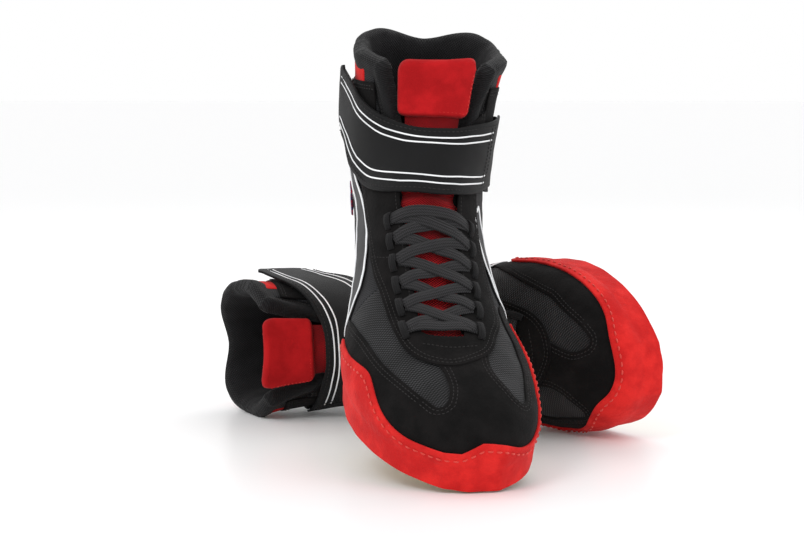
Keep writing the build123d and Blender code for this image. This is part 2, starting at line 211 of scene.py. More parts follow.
def to_map(uv):
    """(turn, place) to the flat map of the form, in millimetres."""
    turn, place = np.asarray(uv, float).T
    arc = np.where(place < 0, place * CAP_MM, np.interp(place, np.arange(LAST + 1), ARC))
    return np.stack([turn * TURN_MM, arc], -1)


def from_map(points):
    x, arc = np.asarray(points, float).T
    place = np.where(arc < 0, arc / CAP_MM, np.interp(arc, ARC, np.arange(LAST + 1)))
    return np.stack([x / TURN_MM, place], -1)


def on_form(boot, points, offset=0.0, rough=1.0):
    """Points of the flat map laid on the form."""
    turn, place = from_map(points).T
    return form_points(boot, place, turn, offset, rough)


def normals_at(boot, points, offset=0.0):
    """Outward unit normal, and how far the form moves for each millimetre of the flat map."""
    step = 0.5
    dx, dy = np.array([step, 0]), np.array([0, step])
    along_x = (on_form(boot, points + dx, offset) - on_form(boot, points - dx, offset)) / (2 * step)
    along_y = (on_form(boot, points + dy, offset) - on_form(boot, points - dy, offset)) / (2 * step)
    return unit(np.cross(along_x, along_y)), along_x, along_y


# ---------------------------------------------------------------- finding places on the form
GRID_PLACES = np.linspace(0, LAST, 193)
GRID_TURNS = np.linspace(-np.pi, np.pi, 241)[:-1]
grids = {}


def grid(boot):
    if boot.side not in grids:
        places, turns = np.meshgrid(GRID_PLACES, GRID_TURNS, indexing="ij")
        points = form_points(boot, places, turns, 5.0).reshape(-1, 3)
        uv = np.stack([turns.ravel(), places.ravel()], -1)
        grids[boot.side] = points, uv
    return grids[boot.side]


def find(boot, spot):
    """Nearest (turn, place) to a spot: ("lateral" or "medial", fore, height), ("top", x, fore)
    or (x, fore, height)."""
    points, uv = grid(boot)
    x, fore, z = points[:, 0], -points[:, 1], points[:, 2]
    if spot[0] == "top":
        away = (x - spot[1])**2 + (fore - spot[2])**2 + np.where(np.cos(uv[:, 0]) < 0, 1e6, 0)
    elif isinstance(spot[0], str):
        side = 1 if spot[0] == "medial" else -1
        away = (fore - spot[1])**2 + (z - spot[2])**2 + np.where(side * np.sin(uv[:, 0]) < 0, 1e6, 0)
    else:
        away = (x - spot[0])**2 + (fore - spot[1])**2 + (z - spot[2])**2
    return uv[np.argmin(away)]


def smooth(points, per=10, closed=False):
    """Catmull-Rom curve through points."""
    p = np.asarray(points, float)
    if len(p) == 2:
        return p[0] + (p[1] - p[0]) * np.linspace(0, 1, per)[:, None]
    if closed:
        p = np.concatenate([p[-1:], p, p[:2]])
    else:
        p = np.concatenate([2 * p[:1] - p[1:2], p, 2 * p[-1:] - p[-2:-1]])
    t = np.linspace(0, 1, per, endpoint=False)[:, None]
    parts = []
    for a, b, c, d in zip(p, p[1:], p[2:], p[3:]):
        parts.append(b + 0.5 * t * (c - a + t * (2 * a - 5 * b + 4 * c - d + t * (3 * (b - c) + d - a))))
    if not closed:
        parts.append(p[-2:-1])
    return np.concatenate(parts)


def even(points, step, closed=False):
    """The same curve with points at an even spacing."""
    p = np.asarray(points, float)
    if closed:
        p = np.concatenate([p, p[:1]])
    length = lengths(p)
    count = max(int(round(length[-1] / step)), 2)
    at = np.linspace(0, length[-1], count + 1)
    if closed:
        at = at[:-1]
    return np.stack([np.interp(at, length, p[:, k]) for k in range(p.shape[1])], -1)


def curve_on(boot, spots, per=10):
    """Smooth curve of the flat map through spots."""
    uv = np.array([find(boot, spot) for spot in spots])
    uv[:, 0] = np.unwrap(uv[:, 0])
    return smooth(to_map(uv), per)


def outline_on(boot, *runs):
    """Closed outline of the flat map, from smooth runs of spots that meet in corners."""
    return np.concatenate([curve_on(boot, run)[:-1] for run in runs])


def polygon_on(boot, side, corners):
    """Closed outline of the flat map with straight sides between (fore, height) corners."""
    spots = [(side, *corner) for corner in corners]
    return outline_on(boot, *[[a, b] for a, b in zip(spots, spots[1:] + spots[:1])])


def throat_edge(boot, side, low, high, extra=0.0, offset=4.0, count=30):
    """Edge of the throat between two places, in the flat map."""
    turns = side * np.linspace(0, 2.0, 241)
    edge = []
    for place in np.linspace(low, high, count):
        p = form_points(boot, place, turns, offset, rough=0)
        wider = np.interp(place, *extra) if isinstance(extra, tuple) else extra
        half = np.interp(p[:, 2], THROAT[:, 0], THROAT[:, 1]) + wider
        past = side * (p[:, 0] - lean_of(boot, p[:, 2])) - half
        edge.append((turns[np.argmax(past > 0)], place))
    return to_map(edge)


def throat_edges(boot, low, high, extra, count=30):
    """Both edges of the throat, the lateral one carried round the back."""
    return (throat_edge(boot, 1, low, high, extra, count=count),
            throat_edge(boot, -1, low, high, extra, count=count) + [ROUND * TURN_MM, 0])


def height_line(boot, fores, heights, turns, offset=4.0):
    """Curve of the flat map over some turns, where the form meets a line of (fore, height)."""
    places = np.linspace(7, LAST, 361)
    line = []
    for turn in turns:
        p = form_points(boot, places, turn, offset, rough=0)
        above = p[:, 2] - np.interp(-p[:, 1], fores, heights)
        line.append((turn, places[np.argmax(above > 0)] if (above > 0).any() else LAST))
    return to_map(line)


# ---------------------------------------------------------------- meshes
def add_mesh(name, points, faces, material, body, node=None, uv=None):
    """A piece in the row frame that rides on a body and stands for a CAD node."""
    mesh = bpy.data.meshes.new(name)
    mesh.from_pydata([tuple(p) for p in points], [], faces)
    if uv is not None:
        layer = mesh.uv_layers.new(name="cloth")
        index = np.empty(len(mesh.loops), int)
        mesh.loops.foreach_get("vertex_index", index)
        layer.data.foreach_set("uv", np.asarray(uv, float)[index].ravel())
    mesh.validate()
    mesh.shade_smooth()
    mesh.materials.append(material)
    obj = bpy.data.objects.new(name, mesh)
    bpy.context.scene.collection.objects.link(obj)
    if body:
        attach(obj, body)
    if node:
        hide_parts(node)
    return obj


def flipped(boot, faces):
    return [face[::-1] for face in faces] if boot.flip else faces


def inside(points, loop):
    """Which points lie inside a closed loop."""
    x, y = points[:, 0][:, None], points[:, 1][:, None]
    x0, y0 = loop.T
    x1, y1 = np.roll(loop, -1, axis=0).T
    crossing = (y0 > y) != (y1 > y)
    slope = (x1 - x0) / np.where(y1 == y0, 1e-9, y1 - y0)
    return (crossing & (x < x0 + (y - y0) * slope)).sum(1) % 2 == 1


def gap_to(points, loops):
    """Distance of each point to the nearest loop point."""
    tree = KDTree(sum(len(loop) for loop in loops))
    number = 0
    for loop in loops:
        for p in loop:
            tree.insert((p[0], p[1], 0), number)
            number += 1
    tree.balance()
    return np.array([tree.find((p[0], p[1], 0))[2] for p in points])


def ccw(loop, anticlockwise=True):
    x, y = loop.T
    area = (x * np.roll(y, -1) - np.roll(x, -1) * y).sum()
    return loop if (area > 0) == anticlockwise else loop[::-1]


def loop_out(loop):
    """Unit vectors of the flat map that point out of a loop which runs anticlockwise."""
    along = np.roll(loop, -1, axis=0) - np.roll(loop, 1, axis=0)
    return unit(np.stack([along[:, 1], -along[:, 0]], -1))


def inset(boot, loop, distance, offset=5.0):
    """A loop moved inwards by a true distance on the form."""
    loop = ccw(loop)
    out = loop_out(loop)
    _, along_x, along_y = normals_at(boot, loop, offset)
    stretch = np.linalg.norm(along_x * out[:, :1] + along_y * out[:, 1:], axis=1, keepdims=True)
    return loop - out * distance / np.maximum(stretch, 0.3)


def fill(outline, holes, spacing, step, extra=()):
    """Triangles of the flat map inside an outline: points, triangles, the loops' point numbers."""
    loops = [ccw(even(outline, step, closed=True))]
    loops += [ccw(even(hole, step, closed=True), anticlockwise=False) for hole in holes]
    low, high = loops[0].min(0), loops[0].max(0)
    columns = np.arange(low[0] + spacing / 2, high[0], spacing)
    rows = np.arange(low[1] + spacing / 2, high[1], spacing * 0.866)
    field = np.array([(x + spacing / 2 * (k % 2), y) for k, y in enumerate(rows) for x in columns])
    field = field.reshape(-1, 2)
    field = np.concatenate([field, *extra]) if len(extra) else field
    keep = inside(field, loops[0])
    for hole in loops[1:]:
        keep &= ~inside(field, hole)
    field = field[keep]
    field = field[gap_to(field, loops) > 0.45 * min(spacing, step * 1.5)]
    points, edges, starts = [], [], []
    for loop in loops:
        start = len(points)
        points += [Vector(p) for p in loop]
        edges += [(start + k, start + (k + 1) % len(loop)) for k in range(len(loop))]
        starts.append((start, len(loop)))
    points += [Vector(p) for p in field]
    made, _, triangles, origin, _, _ = delaunay_2d_cdt(points, edges, [], 0, 1e-5)
    made = np.array([tuple(p) for p in made])
    number = {}
    for new, olds in enumerate(origin):
        for old in olds:
            number[old] = new
    triangles = np.array(triangles)
    middles = made[triangles].mean(1)
    keep = inside(middles, loops[0])
    for hole in loops[1:]:
        keep &= ~inside(middles, hole)
    rings = [[number[start + k] for k in range(count)] for start, count in starts]
    return made, triangles[keep], rings, loops


def flat_uv(points):
    return np.asarray(points) / 1000


def panel(boot, name, outline, layer, material, spacing=4.0, step=1.6, edge=0.5, body="boot",
          lift=None, rough=1.0):
    """A cut piece of cloth or suede that lies on the form, with rolled edges."""
    inner, outer = layer
    points, triangles, rings, loops = fill(outline, (), spacing, step)
    rise = (lambda p: 0.0) if lift is None else (lambda p: lift(from_map(p)))
    top = on_form(boot, points, outer + rise(points), rough)
    low = on_form(boot, points, inner + rise(points), rough)
    count = len(points)
    verts, uv = [top, low], [flat_uv(points), flat_uv(points)]
    faces = [tuple(t) for t in triangles] + [tuple(t[::-1] + count) for t in triangles]
    total = 2 * count
    for ring, loop in zip(rings, loops):
        out2 = loop_out(loop)
        normal, along_x, along_y = normals_at(boot, loop, outer)
        out = along_x * out2[:, :1] + along_y * out2[:, 1:]
        out -= normal * (out * normal).sum(1, keepdims=True)
        out = unit(out)
        base = top[ring]
        thick = outer - inner
        previous = list(ring)
        for reach, drop in ((0.75 * edge, 0.3 * edge), (edge, edge), (edge, thick)):
            verts.append(base + out * reach - normal * drop)
            uv.append(flat_uv(loop))
            current = list(range(total, total + len(loop)))
            total += len(loop)
            faces += side_faces(previous, current)
            previous = current
        faces += side_faces(previous, [r + count for r in ring])
    verts = world(boot, np.concatenate(verts))
    label = f"{boot.side}_{name}"
    return add_mesh(f"{label}_piece", verts, flipped(boot, faces), material,
                    f"{boot.side}_{body}" if body else None, label, np.concatenate(uv))


def side_faces(upper, lower):
    """Quads between two rings that run anticlockwise."""
    n = len(upper)
    return [(upper[k], lower[k], lower[(k + 1) % n], upper[(k + 1) % n]) for k in range(n)]


def pillow(boot, name, outline, middle, half, roll, material, spacing=2.4, step=1.5,
           body="boot", shape=None):
    """A padded piece: both faces swell from a shared edge."""
    loop = ccw(even(outline, step, closed=True))
    rings = [loop - loop_out(loop) * d for d in (0.35, 1.0, 2.0, 3.2)]
    points, triangles, _, _ = fill(outline, (), spacing, step, extra=rings)
    away = gap_to(points, [loop, (loop + np.roll(loop, -1, axis=0)) / 2])
    on_edge = away < 0.05
    share = np.sqrt(np.clip(1 - (1 - np.minimum(away / roll, 1))**2, 0, 1))
    share[on_edge] = 0
    uv = from_map(points)
    outward, inward = shape(uv, away) if shape else (0.0, 0.0)
    mid = middle(uv) if callable(middle) else middle
    top = on_form(boot, points, mid + half * share + outward)
    low = on_form(boot, points, mid - half * share + inward)
    count = len(points)
    inner = np.where(on_edge, np.arange(count), np.arange(count) + count)
    faces = [tuple(t) for t in triangles] + [tuple(inner[t][::-1]) for t in triangles]
    label = f"{boot.side}_{name}"
    cloth = flat_uv(points)
    obj = add_mesh(f"{label}_piece", world(boot, np.concatenate([top, low])), flipped(boot, faces), material,
                   f"{boot.side}_{body}", label, np.concatenate([cloth, cloth]))
    remove_loose(obj)
    return obj


def remove_loose(obj):
    """Drops points that no face uses."""
    mesh = obj.data
    used = np.zeros(len(mesh.vertices), bool)
    index = np.empty(len(mesh.loops), int)
    mesh.loops.foreach_get("vertex_index", index)
    used[index] = True
    if used.all():
        return
    work = bmesh.new()
    work.from_mesh(mesh)
    bmesh.ops.delete(work, geom=[v for v in work.verts if not used[v.index]], context="VERTS")
    work.to_mesh(mesh)
    work.free()


def ribbon_mesh(paths, section, closed=False):
    """Strips along paths of (centres, normals): each has the section's (across, up) outline."""
    verts, faces, uv, total = [], [], [], 0
    n = len(section)
    for centres, normals in paths:
        if closed:
            along = np.roll(centres, -1, axis=0) - np.roll(centres, 1, axis=0)
        else:
            along = np.gradient(centres, axis=0)
        along = unit(along)
        across = unit(np.cross(normals, along))
        up = np.cross(along, across)
        far = lengths(centres)
        count = len(centres)
        for a, u in section:
            verts.append(centres + across * a + up * u)
            uv.append(np.stack([far, np.full(count, a)], -1))
        number = total + np.arange(n * count).reshape(n, count)
        for k in range(n):
            m = (k + 1) % n
            for i in range(count if closed else count - 1):
                j = (i + 1) % count
                faces.append((number[k, i], number[k, j], number[m, j], number[m, i]))
        if not closed:
            faces += [tuple(number[:, 0]), tuple(number[::-1, -1])]
        total += n * count
    return np.concatenate(verts), [tuple(int(v) for v in f) for f in faces], np.concatenate(uv)


def flat_section(width, thickness):
    w, t = width / 2, thickness
    return [(-w, 0.15 * t), (-w, 0.65 * t), (-0.86 * w, t), (0, 1.12 * t), (0.86 * w, t), (w, 0.65 * t),
            (w, 0.15 * t), (0, 0)]


def strip_on(boot, name, paths, offset, width, thickness, material, body="boot", lift=None,
             closed=False):
    """Flat strips, cords or piping that follow curves of the flat map."""
    runs = []
    for path in paths:
        path = even(path, 1.5, closed)
        rise = 0.0 if lift is None else lift(from_map(path))
        normal, _, _ = normals_at(boot, path, offset)
        runs.append((on_form(boot, path, offset + rise), normal))
    verts, faces, uv = ribbon_mesh(runs, flat_section(width, thickness), closed)
    return add_mesh(f"{boot.side}_{name}", world(boot, verts), flipped(boot, faces), material,
                    f"{boot.side}_{body}", None, uv / 1000)


STITCH = [(0.0, 0.35), (0.3, 1.0), (0.7, 1.0), (1.0, 0.35)]


def sew(boot, name, runs, material, pitch, length, width, height, sink, body="boot"):
    """Rows of separate stitches along runs of (centres, normals)."""
    verts, faces, total = [], [], 0
    turns = np.linspace(0, 2 * np.pi, 6, endpoint=False)
    for centres, normal in runs:
        far = lengths(centres)
        for begin in np.arange(pitch * 0.4, far[-1] - length, pitch):
            spots = [begin + share * length for share, _ in STITCH]
            c = np.stack([np.interp(spots, far, centres[:, k]) for k in range(3)], -1)
            n = np.stack([np.interp(spots, far, normal[:, k]) for k in range(3)], -1)
            along = unit(c[-1] - c[0])
            for k, (_, size) in enumerate(STITCH):
                across = np.cross(n[k], along)
                low = -sink * height if k in (0, 3) else 0.0
                for turn in turns:
                    verts.append(c[k] + across * (width / 2 * size * cos(turn))
                                 + n[k] * (height * size * sin(turn) + low))
            for ring in range(3):
                a = total + ring * 6
                faces += [(a + k, a + 6 + k, a + 6 + (k + 1) % 6, a + (k + 1) % 6) for k in range(6)]
            faces.append(tuple(total + k for k in range(6)))
            faces.append(tuple(total + 18 + k for k in reversed(range(6))))
            total += 24
    return add_mesh(f"{boot.side}_{name}", world(boot, np.array(verts)), flipped(boot, faces), material,
                    f"{boot.side}_{body}")


def stitches(boot, name, paths, offset, material, pitch=3.0, length=2.1, width=0.75, body="boot", lift=None):
    """Stitches along curves of the flat map."""
    runs = []
    for path in paths:
        fine = even(path, 0.5)
        rise = 0.0 if lift is None else lift(from_map(fine))
        runs.append((on_form(boot, fine, offset + rise), normals_at(boot, fine, offset)[0]))
    return sew(boot, name, runs, material, pitch, length, width, 0.34, 0.25, body)


# ---------------------------------------------------------------- materials
def node_tree(name):
    material = bpy.data.materials.new(name)
    material.use_nodes = True
    tree = material.node_tree
    return material, tree, tree.nodes["Principled BSDF"]


def node(tree, kind, inputs=(), **settings):
    made = tree.nodes.new(kind)
    for key, value in settings.items():
        setattr(made, key, value)
    for key, value in dict(inputs).items():
        made.inputs[key].default_value = value
    return made


def mixed(tree, factor, a, b, mode="MIX"):
    made = node(tree, "ShaderNodeMix", data_type="RGBA", blend_type=mode)
    for socket, value in ((0, factor), (6, a), (7, b)):
        if isinstance(value, (tuple, float, int)):
            made.inputs[socket].default_value = value
        else:
            tree.links.new(value, made.inputs[socket])
    return made.outputs[2]


def maths(tree, operation, a, b=0.5):
    made = node(tree, "ShaderNodeMath", operation=operation)
    for socket, value in ((0, a), (1, b)):
        if isinstance(value, (float, int)):
            made.inputs[socket].default_value = value
        else:
            tree.links.new(value, made.inputs[socket])
    return made.outputs[0]


def ramp(tree, value, low, high):
    """0 below low, 1 above high."""
    made = node(tree, "ShaderNodeMapRange", {1: low, 2: high})
    made.interpolation_type = "SMOOTHSTEP"
    tree.links.new(value, made.inputs[0])
    return made.outputs[0]


def noise(tree, scale, detail=4.0, vector=None, rough=0.6):
    made = node(tree, "ShaderNodeTexNoise", {"Scale": scale, "Detail": detail, "Roughness": rough})
    source = vector or node(tree, "ShaderNodeTexCoord").outputs["Object"]
    tree.links.new(source, made.inputs["Vector"])
    return made.outputs["Fac"]


def bump(tree, shader, height, strength, distance):
    made = node(tree, "ShaderNodeBump", {"Strength": strength, "Distance": distance})
    tree.links.new(height, made.inputs["Height"])
    tree.links.new(made.outputs["Normal"], shader.inputs["Normal"])


def colour(r, g, b):
    """sRGB 0-255 to a linear colour."""
    def linear(c):
        c /= 255
        return c / 12.92 if c <= 0.04045 else ((c + 0.055) / 1.055)**2.4
    return linear(r), linear(g), linear(b), 1.0


def suede(name, dark, light, sheen, nap=0.5):
    """Napped leather: slow blotches, fine fibres and a soft sheen."""
    material, tree, shader = node_tree(name)
    blotch = ramp(tree, noise(tree, 55.0, 3.0), 0.35, 0.68)
    fibre = noise(tree, 1500.0, 3.0, rough=0.75)
    tone = maths(tree, "ADD", maths(tree, "MULTIPLY", blotch, 0.55), maths(tree, "MULTIPLY", fibre, 0.5))
    tree.links.new(mixed(tree, tone, dark, light), shader.inputs["Base Color"])
    shader.inputs["Roughness"].default_value = 0.93
    shader.inputs["Specular IOR Level"].default_value = 0.12
    shader.inputs["Sheen Weight"].default_value = sheen
    shader.inputs["Sheen Roughness"].default_value = 0.45
    height = maths(tree, "ADD", maths(tree, "MULTIPLY", fibre, 0.6), noise(tree, 420.0, 2.0))
    bump(tree, shader, height, nap, 0.0006)
    return material


def woven(name, thread, gap, pitch, across=None, sheen=0.2, relief_mm=0.35, open_share=0.45, rough=0.75):
    """Knit or woven cloth: staggered threads along the cloth coordinates, with dark gaps."""
    material, tree, shader = node_tree(name)
    cloth = node(tree, "ShaderNodeUVMap", uv_map="cloth").outputs["UV"]
    split = node(tree, "ShaderNodeSeparateXYZ")
    tree.links.new(cloth, split.inputs[0])
    turn = 2 * np.pi / (pitch * MM)
    turn_across = 2 * np.pi / ((across or pitch) * MM)
    along_x = maths(tree, "SINE", maths(tree, "MULTIPLY", split.outputs[0], turn))
    along_y = maths(tree, "SINE", maths(tree, "MULTIPLY", split.outputs[1], turn_across))
    knot = maths(tree, "MULTIPLY", along_x, along_y)
    height = ramp(tree, knot, -1.0 + open_share, 1.0)
    grain = noise(tree, 2400.0, 2.0)
    wide = ramp(tree, noise(tree, 45.0, 2.0), 0.3, 0.7)
    base = mixed(tree, height, gap, thread)
    shade = maths(tree, "ADD", 0.72, maths(tree, "MULTIPLY", wide, 0.4))
    tint = node(tree, "ShaderNodeCombineColor")
    for socket in range(3):
        tree.links.new(shade, tint.inputs[socket])
    tree.links.new(mixed(tree, 1.0, base, tint.outputs[0], "MULTIPLY"), shader.inputs["Base Color"])
    shader.inputs["Roughness"].default_value = rough
    shader.inputs["Specular IOR Level"].default_value = 0.2
    shader.inputs["Sheen Weight"].default_value = sheen
    shader.inputs["Sheen Roughness"].default_value = 0.5
    bump(tree, shader, maths(tree, "ADD", height, maths(tree, "MULTIPLY", grain, 0.25)), 0.8, relief_mm * MM)
    return material


def braid(name, thread, gap, pitch, angle=1.1, sheen=0.25):
    """Flat braid or ribbed webbing: chevrons along the strip."""
    material, tree, shader = node_tree(name)
    cloth = node(tree, "ShaderNodeUVMap", uv_map="cloth").outputs["UV"]
    split = node(tree, "ShaderNodeSeparateXYZ")
    tree.links.new(cloth, split.inputs[0])
    slant = maths(tree, "MULTIPLY", maths(tree, "ABSOLUTE", split.outputs[1]), angle)
    far = maths(tree, "ADD", split.outputs[0], slant)
    wave = maths(tree, "SINE", maths(tree, "MULTIPLY", far, 2 * np.pi / (pitch * MM)))
    rows = maths(tree, "SINE", maths(tree, "MULTIPLY", split.outputs[1], 2 * np.pi / (1.3 * pitch * MM)))
    height = ramp(tree, maths(tree, "ADD", wave, maths(tree, "MULTIPLY", rows, 0.6)), -1.3, 1.2)
    grain = noise(tree, 2600.0, 2.0)
    tone = maths(tree, "MULTIPLY", height, maths(tree, "ADD", 0.6, maths(tree, "MULTIPLY", grain, 0.7)))
    tree.links.new(mixed(tree, tone, gap, thread), shader.inputs["Base Color"])
    shader.inputs["Roughness"].default_value = 0.8
    shader.inputs["Specular IOR Level"].default_value = 0.2
    shader.inputs["Sheen Weight"].default_value = sheen
    bump(tree, shader, height, 0.9, 0.0003)
    return material


def moulded(name, dark, light, roughness, grain_scale=900.0, strength=0.3, coat=0.0):
    """Rubber, board or film: faint blotches and a fine grain."""
    material, tree, shader = node_tree(name)
    tree.links.new(mixed(tree, ramp(tree, noise(tree, 70.0, 5.0), 0.3, 0.7), dark, light),
                   shader.inputs["Base Color"])
    shader.inputs["Roughness"].default_value = roughness
    shader.inputs["Coat Weight"].default_value = coat
    bump(tree, shader, noise(tree, grain_scale, 3.0), strength, 0.0003)
    return material


BLACK_SUEDE = suede("black_suede", colour(5, 5, 5), colour(24, 22, 22), 0.03)
RED_SUEDE = suede("red_suede", colour(176, 22, 24), colour(226, 46, 42), 0.05, nap=0.65)
RED_HEAD = suede("red_head_cloth", colour(146, 14, 18), colour(186, 26, 30), 0.04, nap=0.3)
UPPER_MESH = woven("upper_mesh", colour(48, 48, 52), colour(4, 4, 5), 2.3, 1.5, sheen=0.06)
VENT_MESH = woven("vent_mesh", colour(60, 60, 62), colour(4, 4, 4), 2.7, 1.9, sheen=0.06)
COLLAR_MESH = woven("collar_mesh", colour(30, 29, 31), colour(4, 4, 5), 2.1, 1.4, sheen=0.05)
LINING_MESH = woven("lining_mesh", colour(20, 20, 22), colour(5, 5, 5), 2.0, sheen=0.03)
TONGUE_MESH = woven("tongue_mesh", colour(226, 14, 26), colour(60, 2, 6), 1.9, 1.4, sheen=0.05, relief_mm=0.6)
WEBBING = braid("black_webbing", colour(26, 25, 27), colour(6, 6, 6), 0.9, sheen=0.05)
STRAP_CLOTH = woven("strap_cloth", colour(13, 13, 14), colour(5, 5, 6), 0.9, sheen=0.02, relief_mm=0.12,
                    rough=0.6)
LACE_BRAID = braid("lace_braid", colour(54, 53, 55), colour(12, 12, 12), 1.5, sheen=0.06)
BLACK_THREAD = braid("black_thread", colour(52, 50, 50), colour(20, 19, 19), 0.7, sheen=0.05)
RED_THREAD = braid("red_thread", colour(250, 84, 70), colour(150, 10, 14), 0.7)
WHITE_PRINT = moulded("white_print", colour(226, 228, 230), colour(246, 247, 248), 0.42, strength=0.15)
GREY_FILM = moulded("grey_film", colour(26, 26, 28), colour(44, 44, 46), 0.6, strength=0.4)
LABEL_CLOTH = woven("label_cloth", colour(190, 34, 52), colour(40, 34, 84), 1.2, 7.0, relief_mm=0.2)
LABEL_EDGE = braid("label_edge", colour(205, 208, 220), colour(60, 62, 110), 0.8)
GUM = moulded("gum_sole", colour(196, 170, 120), colour(222, 204, 160), 0.55, strength=0.5)
BOARD = moulded("fibre_board", colour(120, 96, 66), colour(164, 138, 104), 0.85)
FOAM_TOP = woven("foam_top", colour(52, 52, 55), colour(20, 20, 21), 1.8)
LOOP_TAPE = suede("loop_tape", colour(12, 12, 12), colour(46, 46, 46), 0.4, nap=1.0)
HOOK_TAPE = woven("hook_tape", colour(60, 60, 60), colour(8, 8, 8), 1.4, relief_mm=0.8, rough=0.5)

# ---------------------------------------------------------------- layers over the form, in millimetres
LINING = (0.0, 1.6)
MESH = (3.0, 4.0)
SUEDE = (4.0, 5.3)
TRIM = (4.6, 5.6)
RAND_OFFSET = 7.0
STRAP = (7.9, 9.5)
BEHIND_ROLL = ((10.4, 11.2), (2.0, 10.0))       # upper edges stay behind the padded roll of the collar


def around(start, end, count=60):
    return np.linspace(start, end, count)


def wrap_region(boot, top_line, low_place):
    """Everything behind the throat, from a low place up to a line over the back."""
    medial, lateral = throat_edges(boot, low_place, 14.2, 0.0)
    start, end = medial[-1, 0] / TURN_MM, lateral[-1, 0] / TURN_MM
    back = height_line(boot, *top_line, around(start, end))
    medial = medial[medial[:, 1] < back[0, 1] - 1]
    lateral = lateral[lateral[:, 1] < back[-1, 1] - 1]
    return np.concatenate([medial, back, lateral[::-1]])


# ---------------------------------------------------------------- sole
SOLE_OUTLINE = [
    (0, 3), (24, 14), (31, 40), (29, 90), (36, 145), (50, 195), (51, 225), (45, 256), (30, 279),
    (12, 287), (-6, 281), (-25, 262), (-42, 232), (-49, 195), (-43, 140), (-33, 90), (-31, 40), (-24, 14),
]
TREAD_FORE = [28, 46, 64, 178, 196, 214, 232, 250]
SOLE_LIP = 4.4


def sole_loop(count=220):
    dense = smooth(SOLE_OUTLINE, 24, closed=True)
    return ccw(even(dense, 700 / count, closed=True))


def outsole(boot):
    """Moulded sole: a rounded edge, a lip that stands up inside the rand, and a grooved tread."""
    loop = sole_loop()
    out = loop_out(loop)
    holes = []
    for fore in TREAD_FORE:
        for x in (-15, 15):
            bend = np.linspace(-np.pi / 2, np.pi / 2, 7)
            right = [(x + 10 + 1.4 * cos(t), fore + 1.4 * sin(t) - abs(x) * 0.25) for t in bend]
            left = [(x - 10 - 1.4 * cos(t), fore - 1.4 * sin(t) + abs(x) * 0.25) for t in bend]
            holes.append(np.array(right + left))
    outline = loop - out * 2.4
    points, triangles, rings, loops = fill(outline, holes, 7.0, 3.2)
    verts, faces = [], [tuple(t) for t in triangles]

    def ring_of(p, z):
        start = sum(len(v) for v in verts)
        verts.append(np.column_stack([p[:, 0], -p[:, 1], np.full(len(p), z)]))
        return list(range(start, start + len(p)))

    ring_of(points, -3.0)
    edge = loops[0]
    out = loop_out(edge)
    previous = rings[0]
    for reach, z in ((1.0, -2.8), (1.7, -2.1), (1.9, -1.0), (1.8, 0.6), (1.2, 2.6), (0.2, SOLE_LIP)):
        current = ring_of(edge + out * reach, z)
        faces += side_faces(current, previous)
        previous = current
    tree = rand_form(boot, 3.4)
    for z in (7.5, 10.0):
        hugging = []
        for (x, fore), (ox, of) in zip(edge, out):
            start = Vector((x + 20 * ox, -(fore + 20 * of), z + 2))
            hit = tree.ray_cast(start, Vector((-ox, of, 0)), 60)[0]
            reach = 20 - (hit - start).length if hit else -4
            reach = min(reach, 1.0) + (1.3 if z < 9 else 0.2)
            hugging.append((x + reach * ox, fore + reach * of))
        current = ring_of(np.array(hugging), z)
        faces += side_faces(current, previous)
        previous = current
    faces.append(tuple(previous))
    for ring, hole in zip(rings[1:], loops[1:]):
        floor = ring_of(hole, -1.9)
        faces += side_faces(floor, ring)
        faces.append(tuple(floor))
    name = f"{boot.side}_outsole"
    tidy_normals(add_mesh(f"{name}_piece", world(boot, np.concatenate(verts)), faces, GUM,
                          f"{boot.side}_boot", name))


def tidy_normals(obj, angle=35):
    """Outward faces, with edges sharper than an angle kept sharp."""
    work = bmesh.new()
    work.from_mesh(obj.data)
    bmesh.ops.recalc_face_normals(work, faces=work.faces)
    work.to_mesh(obj.data)
    work.free()
    obj.data.shade_smooth()
    obj.data.set_sharp_from_angle(angle=radians(angle))


# height of the rand's top edge against fore, on each side of each boot
RAND_TOP = {
    "right": {
        "lateral": [(160, 8), (166, 24), (172, 33), (180, 33), (200, 36), (226, 40),
                   (240, 34), (254, 25), (268, 21), (287, 22)],
        "medial": [(156, 8), (160, 30), (165, 43), (176, 43), (206, 37), (236, 27),
                  (258, 19), (272, 21), (282, 28), (287, 29)],
    },
    "left": {
        "lateral": [(160, 8), (166, 24), (172, 33), (182, 35), (200, 31), (226, 28),
                   (248, 27), (264, 28), (278, 33), (287, 34)],
        "medial": [(156, 8), (160, 26), (165, 38), (176, 38), (206, 33), (236, 31),
                  (258, 38), (272, 40), (282, 36), (287, 34)],
    },
}
RAND_BOTTOM = -1.3
RAND_END = (158, 161)       # fore distance of its ends, medial and lateral
RAND_ROWS = 26
TIP_X = 12                  # the tip of the toe, where the medial side ends


